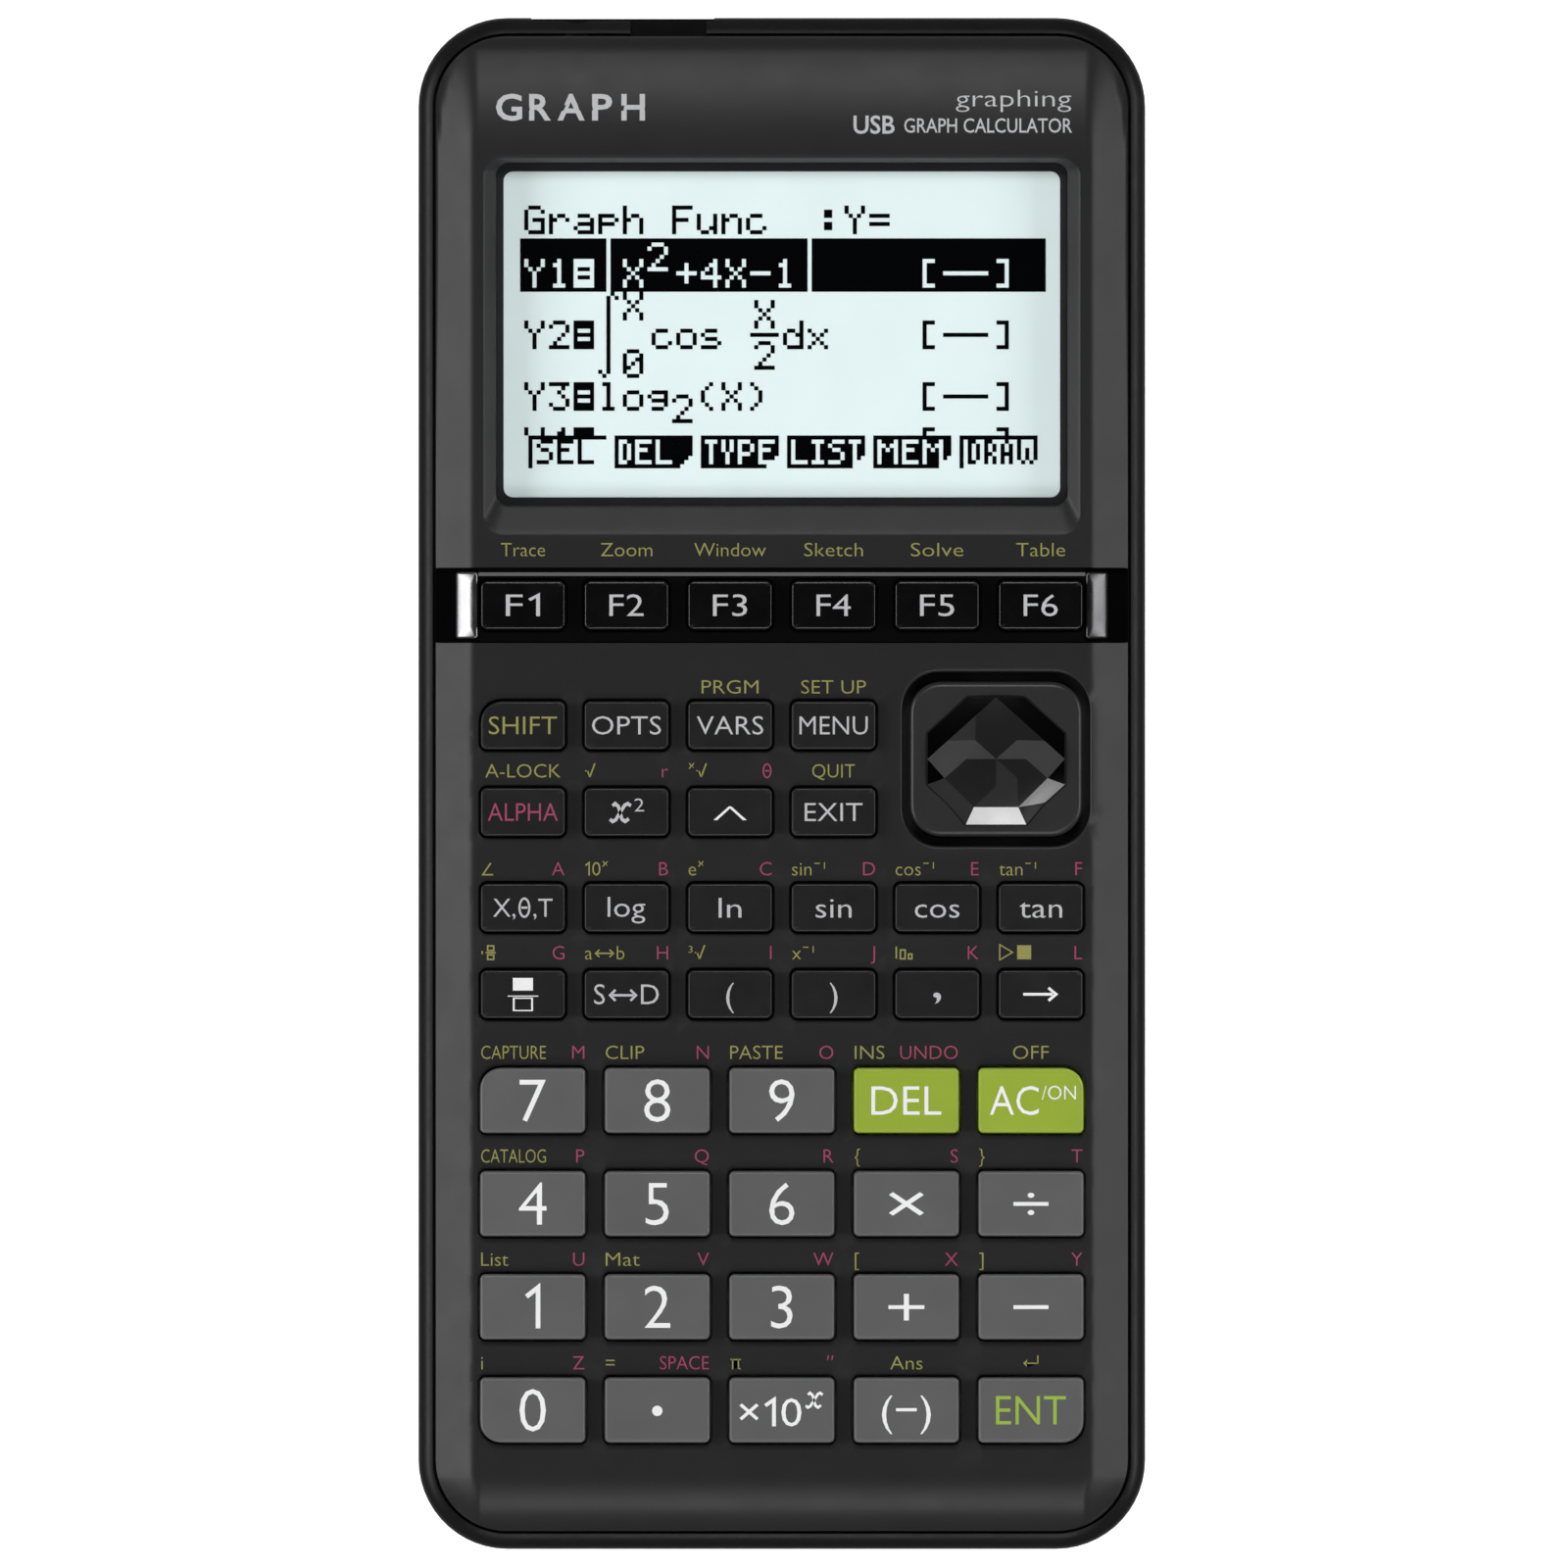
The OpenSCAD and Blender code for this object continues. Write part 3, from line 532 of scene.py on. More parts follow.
    # Inside: roof, step, cavity wall, lower edge with the notch for the socket
    inner = rounded(2 * (half_w - WALL), 2 * (half_l - WALL), front_r - WALL, (0, 0), 12)
    k = next(i for i, p in enumerate(inner) if p[1] > 0 and abs(inner[(i + 1) % len(inner)][1] - p[1]) < 1e-6
             and abs(inner[(i + 1) % len(inner)][0] - p[0]) > 20)
    inner = inner[:k + 1] + [(x, inner[k][1]) for x in reversed(usb_x)] + inner[k + 1:]
    deep = rounded(72, 154, 0.5, (0, -1), 4)
    through = rounded(ow + 0.2, ol + 0.2, OPENING_R, (0, oy), 8)
    s.fill(deep, [holes[n] for n in KEYS] + [well, through], roof)
    ceiling = face_z - INNER_STEP
    s.skirt(s.loop(deep, roof), s.loop(deep, ceiling))
    s.fill(inner, [deep], ceiling)

    def notch(lp):
        def test(i):
            a, b = lp[i], lp[(i + 1) % len(lp)]
            return a[1] > END_Y and b[1] > END_Y and usb_x[0] < (a[0] + b[0]) / 2 < usb_x[1]
        return test
    s.skirt(s.loop(inner, ceiling), s.loop(inner, lift))
    s.skirt(s.loop(inner, lift), s.loop(inner, front_base), skip=notch(inner))
    edges = [((x, half_l), (x, half_l - WALL)) for x in usb_x]
    s.fill(ring, [inner], front_base, edges=edges,
           drop=lambda x, y: (y > END_Y) & (x > usb_x[0]) & (x < usb_x[1]))
    for x in usb_x:
        side = [(x, half_l), (x, half_l - WALL)]
        s.skirt(s.loop(side, lift), s.loop(side, front_base), closed=False)
    left, right = usb_x
    s.face(s.loop([(left, half_l), (left, half_l - WALL), (right, half_l - WALL), (right, half_l)], lift))

    # Outer wall, with a softened upper edge
    def channel(p):
        return panel_low - 1e-6 < p[1] < panel_high + 1e-6

    n = len(ring)
    for i in range(n):
        a, b = ring[i], ring[(i + 1) % n]
        low = channel(a) and channel(b)
        h = floor if low else skin
        rows = [[h(*a), h(*b)]]
        if not low:
            rows.append([h(*a) - 0.35, h(*b) - 0.35])
        rows.append([lift, lift])
        if not notch(ring)(i):
            rows.append([front_base, front_base])
        for r0, r1 in zip(rows, rows[1:]):
            corners = ((a, r0[0]), (b, r0[1]), (b, r1[1]), (a, r1[0]))
            s.face([s.loop([p], z)[0] for p, z in corners])
    o = s.make("front_shell", [M["shell"]], "case", "front_shell", angle=48)
    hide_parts("front_case")


build_front()


# ---- strip and bright bars

STRIP_CLEAR, STRIP_THICK = 0.07, 1.0
SOFT_LOW, TOP_CHAMFER, TOP_STEP = 0.12, 0.9, 0.5
BAR = (2.5, 7.6, 0.3)                    # bright bar: width, length, corner radius
BAR_X, BAR_RISE = 36.05, 0.4


def build_strip():
    s = Shape()
    y0, y1 = panel_low + STRIP_CLEAR, panel_high - STRIP_CLEAR
    middle = (y0 + y1) / 2
    holes = [key_loop(n, GAP) for n in FUNCTION_KEYS]
    lips = [key_loop(n, GAP + 0.1) for n in FUNCTION_KEYS]
    # Edge from the top down: how far in at the low and the high side, and how far down there
    rows = ((SOFT_LOW, TOP_CHAMFER, 0, 0), (0, TOP_STEP, 0.12, 0.126), (0, TOP_STEP, 0.3, 0.5),
            (0, 0, 0.5, 0.5), (0, 0, STRIP_THICK, STRIP_THICK))

    def up(x, y):
        return skin(x, y) + 0.1

    def edge(low_in, high_in):
        return [(x, y0 + low_in) for x in channel_x] + [(x, y1 - high_in) for x in reversed(channel_x)]

    s.fill(edge(SOFT_LOW, TOP_CHAMFER), lips, up,
           grid=[(x, y) for x in channel_x[1:-1] for y in (y0 + 0.8, y1 - 1.2)])
    for a, b in zip(lips, holes):
        s.chain([s.loop(a, up), s.loop(b, lambda x, y: up(x, y) - 0.1),
                 s.loop(b, lambda x, y: up(x, y) - STRIP_THICK)])
    s.chain([s.loop(edge(low_in, high_in), lambda x, y: up(x, y) - (low_drop if y < middle else high_drop))
             for low_in, high_in, low_drop, high_drop in rows])
    s.fill(edge(0, 0), holes, lambda x, y: up(x, y) - STRIP_THICK)
    gloss, painted_dark, top_edge = 0, 1, 2
    for i, f in enumerate(s.f):
        x, y, _ = np.mean([s.v[k] for k in f], axis=0)
        # Rolled ends and the lower soft edge take the painted-shade black; the rest is gloss, the upper
        # chamfer its own edge finish.
        if abs(x) > half_w - SIDE_ROLL or y < y0 + SOFT_LOW:
            s.m[i] = painted_dark
        else:
            s.m[i] = top_edge if y1 - TOP_CHAMFER < y < y1 - TOP_STEP else gloss
    o = s.make("function_strip", [M[n] for n in ("strip", "strip_end_painted_shade", "strip_edge")], "case", "gloss_panel",
               angle=8)
    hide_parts("function_panel")


def build_bar(side, tone, name):
    s = Shape()
    at = (side * BAR_X, (panel_low + panel_high) / 2)
    w, l, r = BAR
    loops = [s.loop(rounded(w, l, r, at, 5), skin)]
    for grow, d in ((0, 0.2), (-0.06, 0.3), (-0.16, 0.37), (-0.3, BAR_RISE)):
        loops.append(s.loop(rounded(w + 2 * grow, l + 2 * grow, max(r + grow, 0.08), at, 5),
                            lambda x, y: skin(x, y) + d))
    s.chain(loops)
    grid = [(at[0] + k * 0.3, at[1] + j) for k in (-2, -1, 0, 1, 2) for j in (-2.5, 0, 2.5)]
    s.fill(rounded(w - 0.6, l - 0.6, 0.08, at, 5), [], lambda x, y: skin(x, y) + BAR_RISE, grid=grid)
    s.fill(rounded(w, l, r, at, 5), [], skin)
    s.make(name, [M[tone]], "case", "bright_trim", angle=30)


build_strip()
build_bar(-1, "chrome", "bright_bar_left")
# The right bar takes the chrome with painted shade, darker than the left.
build_bar(1, "chrome_painted_shade", "bright_bar_right")


# ---- printed frame behind the window

MASK, MASK_HOLE = (67.0, 40.4, 0.8), (63.7, 37.3, 1.1)       # width, length, corner radius


def build_mask():
    s = Shape()
    low, high = win[2] - 0.035, win[2] - 0.01
    outer = grown(MASK, 0, (0, opening[2]), 6)
    inner = grown(MASK_HOLE, 0, (0, opening[2]), 6)
    rows = {}
    for z in (low, high):
        s.fill(outer, [inner], z)
        rows[z] = (s.loop(outer, z), s.loop(inner, z))
    for k in (0, 1):
        s.skirt(rows[low][k], rows[high][k])
    s.make("window_print", [M["print_black"]], "case", "window", angle=0)


build_mask()


# ---- keycaps

CROWN = 0.04


def key_top(node):
    return span(node)[5]


def crown(node, x, y):
    """Height of a keycap's top: its rim, with a very slight dome."""
    at, (w, l), _ = key_plan(node)
    u, v = (x - at[0]) / (w / 2), (y - at[1]) / (l / 2)
    return key_top(node) + CROWN * max(1 - u ** 4, 0) * max(1 - v ** 4, 0)


def build_key(node):
    at, (w, l), _ = key_plan(node)
    s = Shape()
    base, top = span(node)[2] + 0.5, key_top(node)       # the flange starts above the stem's end
    ledge = base + FLANGE_HIGH
    number = node in NUMBER_KEYS
    soft = 0.42 if number else 0.3
    rows = [(FLANGE_OUT, base), (FLANGE_OUT, ledge), (0.0, ledge), (0.0, top - soft - 0.02)]
    for k in range(1, 6):
        a = math.radians(90 * k / 5)
        rows.append((-soft * 0.75 * (1 - math.cos(a)), top - soft * (1 - math.sin(a))))
    loops = [s.loop(key_loop(node, grow), z) for grow, z in rows]
    s.chain(loops)
    edge = key_loop(node, rows[-1][0])
    cells = [(at[0] + w * i / 12, at[1] + l * j / 10) for i in range(-5, 6) for j in range(-4, 5)]
    s.fill(edge, [], lambda x, y: crown(node, x, y), grid=cells)
    s.face(loops[0][::-1])
    mat, slot = ("grey_key", "grey_keys") if number else ("dark_key", "dark_keys")
    if node in ("key_delete", "key_clear"):
        mat, slot = "green_key", "green_keys"
    if node in FUNCTION_KEYS:
        mat = "fkey"
    o = s.make("cap_" + node[4:], [M[mat]], node, slot, angle=40)
    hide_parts(node)


for node in KEYS:
    build_key(node)


# ---- legends

def ellipse(w, h, n=20):
    turn = [math.tau * i / n for i in range(n)]
    return [(w / 2 * (1 + math.cos(a)), h / 2 * (1 + math.sin(a))) for a in turn]


# Signs drawn as lines, in capital heights: width, then lines; a line that closes ends with None
DRAWN = {
    "1": (0.34, [[(0.0, 0.74), (0.27, 0.955), (0.27, 0.0)]]),
    "θ": (0.56, [ellipse(0.56, 1.0) + [None], [(0.1, 0.5), (0.46, 0.5)]]),
    "𝑥": (0.85, [[(0.0, 0.1), (0.1, 0.02), (0.22, 0.08), (0.56, 0.6), (0.68, 0.66), (0.8, 0.58)],
                 [(0.1, 0.58), (0.2, 0.66), (0.32, 0.56), (0.46, 0.1), (0.58, 0.02), (0.72, 0.12)]]),
    "∠": (0.8, [[(0.62, 0.92), (0.04, 0.06), (0.8, 0.06)]]),
    "↔": (1.35, [[(0.14, 0.45), (1.21, 0.45)], [(0.3, 0.72), (0.02, 0.45), (0.3, 0.18)],
                 [(1.05, 0.72), (1.33, 0.45), (1.05, 0.18)]]),
    "→": (1.5, [[(0.0, 0.5), (1.3, 0.5)], [(1.12, 0.78), (1.46, 0.5), (1.12, 0.22)]]),
    "½": (1.15, [[(0.1, 0.38), (0.1, 0.62)], [(0.35, 0.5), (1.1, 0.5)],
                 [(0.5, 0.66), (0.95, 0.66), (0.95, 1.0), (0.5, 1.0), None],
                 [(0.5, 0.0), (0.95, 0.0), (0.95, 0.34), (0.5, 0.34), None]]),
    "¼": (1.25, [[(0.05, 0.05), (0.05, 0.95)], [(0.35, 0.05), (0.35, 0.7), (0.7, 0.7), (0.7, 0.05), None],
                 [(0.95, 0.05), (0.95, 0.4), (1.2, 0.4), (1.2, 0.05), None]]),
}


def ribbon(line, thick):
    """A line of even thickness, mitred at its bends, as vertices and faces between z -0.5 and 0.5."""
    closed = line[-1] is None
    p = [Vector(q) for q in line if q is not None]
    n = len(p)
    rows = []
    for i in range(n):
        back = (p[i] - p[i - 1]).normalized() if closed or i > 0 else None
        ahead = (p[(i + 1) % n] - p[i]).normalized() if closed or i < n - 1 else None
        back, ahead = back or ahead, ahead or back
        side = Vector((-back.y - ahead.y, back.x + ahead.x)).normalized()
        reach = thick / 2 / max(side.dot(Vector((-ahead.y, ahead.x))), 0.45)
        for q in (p[i] - side * reach, p[i] + side * reach):
            rows += [(q.x, q.y, -0.5), (q.x, q.y, 0.5)]
    faces = []
    for i in range(n if closed else n - 1):
        a, b = 4 * i, 4 * ((i + 1) % n)
        faces += [(a + 1, b + 1, b + 3, a + 3), (a, a + 2, b + 2, b),
                  (a, b, b + 1, a + 1), (a + 2, a + 3, b + 3, b + 2)]
    if not closed:
        e = 4 * (n - 1)
        faces += [(0, 1, 3, 2), (e, e + 2, e + 3, e + 1)]
    return rows, faces


def lettering(text, cap, bold):
    cu = bpy.data.curves.new("word", "FONT")
    cu.body = text
    cu.size = cap / 0.686
    cu.resolution_u = 3
    cu.extrude = 0.5
    cu.offset = bold
    o = bpy.data.objects.new("word", cu)
    scene.collection.objects.link(o)
    bpy.context.view_layer.update()
    mesh = bpy.data.meshes.new_from_object(o.evaluated_get(bpy.context.evaluated_depsgraph_get()))
    v = [tuple(p.co) for p in mesh.vertices]
    f = [tuple(p.vertices) for p in mesh.polygons]
    bpy.data.objects.remove(o)
    bpy.data.curves.remove(cu)
    bpy.data.meshes.remove(mesh)
    return v, f


def glyphs(text, cap, width=None, bold=0.0):
    """A word as flat polygons with a thickness, from the origin. cap is the height of its capitals."""
    runs = []
    for ch in text:
        if ch in DRAWN or not runs or runs[-1] in DRAWN:
            runs.append(ch)
        else:
            runs[-1] += ch
    v, f, x = [], [], 0.0
    for run in runs:
        if run in DRAWN:
            bits = []
            for line in DRAWN[run][1]:
                scaled = [q and (q[0] * cap, q[1] * cap) for q in line]
                bits.append(ribbon(scaled, max(0.135 * cap + 2 * bold, 0.05 * cap)))
        else:
            bits = [lettering(run, cap, bold)]
        low = min(q[0] for rows, _ in bits for q in rows)
        high = max(q[0] for rows, _ in bits for q in rows)
        for rows, faces in bits:
            first = len(v)
            v += [(q[0] - low + x, q[1], q[2]) for q in rows]
            f += [tuple(first + i for i in face) for face in faces]
        x += high - low + 0.17 * cap
    v = np.array(v, float)
    if width:
        v[:, 0] *= width / v[:, 0].max()
    return v, f


def write(shape, text, at, cap, surface, width=None, align="c", bold=0.0, rise=0.035):
    """Adds a word to a shape, lying on a surface.

    at is its middle, left or right end, at half its capitals' height."""
    v, f = glyphs(text, cap, width, bold)
    wide = v[:, 0].max()
    x0 = at[0] - {"l": 0, "c": wide / 2, "r": wide}[align]
    y0 = at[1] - cap / 2
    first = len(shape.v)
    for x, y, z in v:
        px, py = x0 + x, y0 + y
        shape.v.append((px, py, surface(px, py) + (rise if z > 0 else -0.06)))
    for p in f:
        shape.face([first + i for i in p])


# key: list of (text, capital height, width or None, and an offset in x and y where it has one)
LEGENDS = {
    **{f"f{i}": [(f"F{i}", 2.5, 3.9)] for i in range(1, 7)},
    "shift": [("SHIFT", 2.05, 7.8)], "options": [("OPTS", 2.1, 7.9)],
    "variables": [("VARS", 2.1, 7.6)], "menu": [("MENU", 2.1, 7.8)],
    "alpha": [("ALPHA", 2.05, 8.0)],
    "square": [("𝑥", 3.2, 2.6, -0.7, 0.45), ("2", 1.5, 1.1, 1.45, 0.8)],
    "power": [("∧", 1.9, 3.8)], "exit": [("EXIT", 2.1, 6.6)],
    "x": [("X,θ,T", 2.1, 6.8)], "log": [("log", 2.3, 4.3, 0, 0.1)], "ln": [("ln", 2.3, 2.6)],
    "sin": [("sin", 2.3, 4.1)], "cos": [("cos", 2.3, 5.1)], "tan": [("tan", 2.3, 4.9)],
    "fraction": [("■", 1.4, 2.3, 0, 1.1), ("—", 1.6, 3.5, 0, 0.0), ("□", 1.5, 2.3, 0, -1.2)],
    "convert": [("S↔D", 2.3, 7.4)],
    "bracket_open": [("(", 2.6, 0.9)], "bracket_close": [(")", 2.6, 0.9)],
    "comma": [(",", 4.2, 0.9, 0, 1.6)], "store": [("→", 2.6, 4.0)],
    **{d: [(d, 4.9, None)] for d in "0123456789"},
    "delete": [("DEL", 3.3, 8.0)], "clear": [("AC", 3.3, 5.6, -1.9, 0), ("/ON", 1.6, 3.9, 3.2, 0.9)],
    "times": [("×", 4.6, 4.0)], "divide": [("÷", 4.6, 4.0)],
    "plus": [("+", 4.6, 4.1)], "minus": [("−", 4.6, 4.0)],
    "point": [(".", 7.6, None, 0, 3.15)],
    "exponent": [("×10", 3.2, 7.1, -1.3, -0.25), ("𝑥", 2.6, 2.1, 3.7, 1.55)],
    "negate": [("(−)", 3.3, 5.6)], "execute": [("ENT", 3.3, 8.0)],
}
COLOURS = {"shift": "yellow", "alpha": "pink", "execute": "green",
           "power": "white", "fraction": "white", "store": "white"}


def off_middle(text):
    """How far a sign sits off the capitals' middle, in capital heights."""
    return -0.02 if text in ("×", "÷", "+", "−") else 0


def build_legend(node):
    at = key_plan(node)[0]
    level = key_top(node) + CROWN
    s = Shape()
    short = node[4:]
    for text, cap, width, *offset in LEGENDS[short]:
        dx, dy = offset or (0, 0)
        spot = (at[0] + dx, at[1] + dy + off_middle(text) * cap)
        write(s, text, spot, cap, lambda x, y: level, width, bold=-0.06 if cap > 4 else -0.02, rise=0.015)
    colour = COLOURS.get(short, "white" if node in NUMBER_KEYS else "grey")
    s.make("legend_" + short, [M[colour]], node, angle=0, weld=1e-5)


for node in KEYS:
    build_legend(node)

columns6 = [-29.6, -17.76, -5.92, 5.92, 17.76, 29.6]
columns5 = [-28.48, -14.24, 0, 14.24, 28.48]
LABEL_CAP = 1.55
# For each row: its height, its columns, half a key's width, and for each column (yellow, pink) at the key's
# two edges, (yellow,) at its middle, or None
LABELS = [
    (26.75, columns6, 4.75, [("Trace",), ("Zoom",), ("Window",), ("Sketch",), ("Solve",), ("Table",)]),
    (11.05, columns6, 4.75, [None, None, ("PRGM",), ("SET UP",)]),
    (1.45, columns6, 4.75, [("A-LOCK",), ("√", "r"), ("ˣ√", "θ"), ("QUIT",)]),
    (-9.75, columns6, 4.75,
     [("∠", "A"), ("10ˣ", "B"), ("eˣ", "C"), ("sin⁻¹", "D"), ("cos⁻¹", "E"), ("tan⁻¹", "F")]),
    (-19.35, columns6, 4.75,
     [("½", "G"), ("a↔b", "H"), ("³√", "I"), ("x⁻¹", "J"), ("¼", "K"), ("▷■", "L")]),
    (-30.75, columns5, 5.9, [("CAPTURE", "M"), ("CLIP", "N"), ("PASTE", "O"), ("INS", "UNDO"), ("OFF",)]),
    (-42.6, columns5, 5.9, [("CATALOG", "P"), ("", "Q"), ("", "R"), ("{", "S"), ("}", "T")]),
    (-54.4, columns5, 5.9, [("List", "U"), ("Mat", "V"), ("", "W"), ("[", "X"), ("]", "Y")]),
    (-66.25, columns5, 5.9, [("i", "Z"), ("=", "SPACE"), ("π", "″"), ("Ans",), ("↵",)]),
]
WIDTHS = {"Trace": 5.05, "Zoom": 5.9, "Window": 8.2, "Sketch": 6.7, "Solve": 6.0, "Table": 5.6,
          "PRGM": 6.5, "SET UP": 7.4, "A-LOCK": 8.6, "QUIT": 4.9, "CAPTURE": 7.4, "CLIP": 4.4,
          "PASTE": 6.0, "INS": 3.4, "UNDO": 6.6, "OFF": 4.1, "CATALOG": 7.4, "List": 3.1, "Mat": 3.9,
          "SPACE": 5.6, "Ans": 3.7}
yellow, pink, heading = Shape(), Shape(), Shape()
for y, columns, half, pairs in LABELS:
    for x, pair in zip(columns, pairs):
        if not pair:
            continue
        if len(pair) == 1:
            words = [(yellow, pair[0], x, "c")]
        else:
            words = [(yellow, pair[0], x - half, "l"), (pink, pair[1], x + half, "r")]
        for shape, word, end, align in words:
            if word:
                write(shape, word, (end, y), LABEL_CAP, skin, WIDTHS.get(word), align, bold=-0.02)
for i, letter in enumerate("GRAPH"):
    write(heading, letter, (-31.2 + 3.55 * i, 77.35), 2.9, skin, (3.0, 2.5, 3.1, 2.3, 2.7)[i], bold=0.085)
write(heading, "graphing", (33.1, 78.4), 1.95, skin, 13.2, "r", bold=-0.03)
write(heading, "USB", (12.9, 75.35), 2.0, skin, 4.7, "r", bold=0.04)
write(heading, "GRAPH CALCULATOR", (33.2, 75.25), 1.62, skin, 19.2, "r", bold=0.01)
yellow.make("labels_second", [M["yellow"]], "case", angle=0, weld=1e-5)
pink.make("labels_letters", [M["pink"]], "case", angle=0, weld=1e-5)
heading.make("labels_heading", [M["grey"]], "case", angle=0, weld=1e-5)


def back_print(name, body, level, words):
    """Words on a downward face at a height. Their places are as seen from below, with +Y up."""
    s = Shape()
    for text, at, cap in words:
        write(s, text, at, cap, lambda x, y: level)
    s.v = [(-x, y, 2 * level - z) for x, y, z in s.v]
    s.make(name, [M["grey"]], body, angle=0, weld=1e-5)


back_z = span("battery_cover")[2]
LABEL_DEEP = 0.25
back_print("cover_print", "battery_cover", back_z, [("4 × AAA", (0, 62), 2.6), ("OPEN", (0, 38.5), 2.2)])
back_print("label_print", "case", back_z + LABEL_DEEP,
           [("GRAPHING CALCULATOR", (0, -12), 2.2), ("DC 6 V   4 × AAA", (0, -18), 2.0),
            ("RESTART", (12, -37), 1.6)])


# ---- cursor pad

CUT_X, CUT_Y = 8.5, 7.65                 # half width and half length of the cut part


def build_cursor():
    s = Shape()
    rim = body_top - 1.0
    base = pad[2]
    ledge = base + 0.8
    round_in, round_down = 0.7, 0.6                          # the rim's rounding
    rows = [(FLANGE, 0, base), (FLANGE, 0, ledge), (PAD, 0, ledge), (PAD, 0, rim - round_down)]
    for k in range(1, 7):
        a = math.radians(90 * k / 6)
        rows.append((PAD, -round_in * (1 - math.cos(a)), rim - round_down * (1 - math.sin(a))))
    loops = [s.loop(grown(size, grow, pad_at, 9), z) for size, grow, z in rows]
    s.face(loops[0][::-1])
    s.chain(loops)
    last = grown(PAD, rows[-1][1], pad_at, 9)

    def spot(reach, degrees):
        a = math.radians(degrees)
        return pad_at[0] + CUT_X * reach * math.cos(a), pad_at[1] + CUT_Y * reach * math.sin(a)

    def ring(grow):
        """Octagon with a point in the middle of each side, and its lowest side further out."""
        reach = [1.0 if k % 2 else math.cos(math.pi / 8) for k in range(16)]
        return [spot(r * (1.06 if k in (11, 12, 13) else 1.0) + grow, 22.5 * k) for k, r in enumerate(reach)]

    tips = {0: 0.34, 4: 0.42, 8: 0.34}                       # raised tips of the kite facets
    s.fill(last, [ring(0.03)], rim)
    dip = s.loop(ring(0.01), rim - 0.14)
    s.skirt(s.loop(ring(0.03), rim), dip)
    girdle = s.loop(ring(0.0), [rim + 0.02 + tips.get(k, 0.06 if k % 2 else 0.0) for k in range(16)])
    s.skirt(dip, girdle)
    reaches = (0.707, 0.707, 0.707, 0.707, 0.75, 0.78, 0.78, 0.75)
    table = s.loop([spot(r, 22.5 + 45 * k) for k, r in enumerate(reaches)], body_top - 0.32)
    star = s.loop([spot(0.40, 45 * k) for k in range(8)],
                  [body_top - 0.13 + 0.07 * (-1) ** k for k in range(8)])
    peak = s.loop([pad_at], body_top - 0.04)[0]
    # The facet greys below are painted reflections: bright, pale and black facets stand in for mirrored
    # softboxes and dark studio, not the pad's own colour.
    black, dim, soft, mid, pale, bright = range(1, 7)
    # For each eighth, from +X anticlockwise: two edge facets, the one between them, its inner one, the core
    cuts = ((black, black, mid, mid, mid), (black, black, black, dim, dim), (black, black, dim, dim, dim),
            (black, black, black, soft, mid), (black, black, mid, mid, dim), (soft, soft, soft, dim, dim),
            (bright, bright, bright, soft, soft), (black, pale, pale, dim, dim))
    for k, (early, late, between, inner, core) in enumerate(cuts):
        g0, g1, g2 = girdle[(2 * k - 1) % 16], girdle[2 * k], girdle[(2 * k + 1) % 16]
        t0, t1 = table[(k - 1) % 8], table[k]
        s.face((g0, g1, t0), early)
        s.face((g1, g2, t1), late)
        s.face((g1, t1, t0), between)
        s.face((t0, t1, star[k]), inner)
        s.face((star[k], t1, star[(k + 1) % 8]), core)
        s.face((star[k], star[(k + 1) % 8], peak), core)
    tones = ("cursor", "facet_painted_black", "facet_painted_dim", "facet_painted_soft", "facet_painted_mid", "facet_painted_pale", "facet_painted_bright")
    o = s.make("cursor_painted_reflection_pad", [M[n] for n in tones], "cursor_pad", "cursor", angle=0)
    for f in o.data.polygons:
        f.use_smooth = f.material_index == 0
    o.data.set_sharp_from_angle(angle=math.radians(25))
    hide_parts("cursor_pad")


build_cursor()


# ---- display picture

# Letters as seven rows of five dots, the leftmost dot worth 16
FONT = {
    "G": (14, 17, 16, 23, 17, 17, 15), "r": (0, 0, 22, 25, 16, 16, 16), "a": (0, 0, 14, 1, 15, 17, 15),
    "p": (0, 0, 30, 17, 30, 16, 16), "h": (16, 16, 22, 25, 17, 17, 17), "F": (31, 16, 16, 30, 16, 16, 16),
    "u": (0, 0, 17, 17, 17, 19, 13), "n": (0, 0, 22, 25, 17, 17, 17), "c": (0, 0, 14, 16, 16, 17, 14),
    ":": (0, 12, 12, 0, 12, 12, 0), "Y": (17, 17, 10, 4, 4, 4, 4), "=": (0, 0, 31, 0, 31, 0, 0),
    "1": (4, 12, 4, 4, 4, 4, 14), "2": (14, 17, 1, 2, 4, 8, 31), "3": (31, 2, 4, 2, 1, 17, 14),
    "4": (2, 6, 10, 18, 31, 2, 2), "0": (14, 17, 19, 21, 25, 17, 14), "x": (0, 0, 17, 10, 4, 10, 17),
    "X": (17, 17, 10, 4, 10, 17, 17), "+": (0, 4, 4, 31, 4, 4, 0), "-": (0, 0, 0, 31, 0, 0, 0),
    "[": (14, 8, 8, 8, 8, 8, 14), "]": (14, 2, 2, 2, 2, 2, 14), "(": (2, 4, 8, 8, 8, 4, 2),
    ")": (8, 4, 2, 2, 2, 4, 8), "o": (0, 0, 14, 17, 17, 17, 14), "s": (0, 0, 14, 16, 14, 1, 30),
    "d": (1, 1, 13, 19, 17, 17, 15), "l": (12, 4, 4, 4, 4, 4, 14), "g": (0, 0, 15, 17, 15, 1, 14),
}
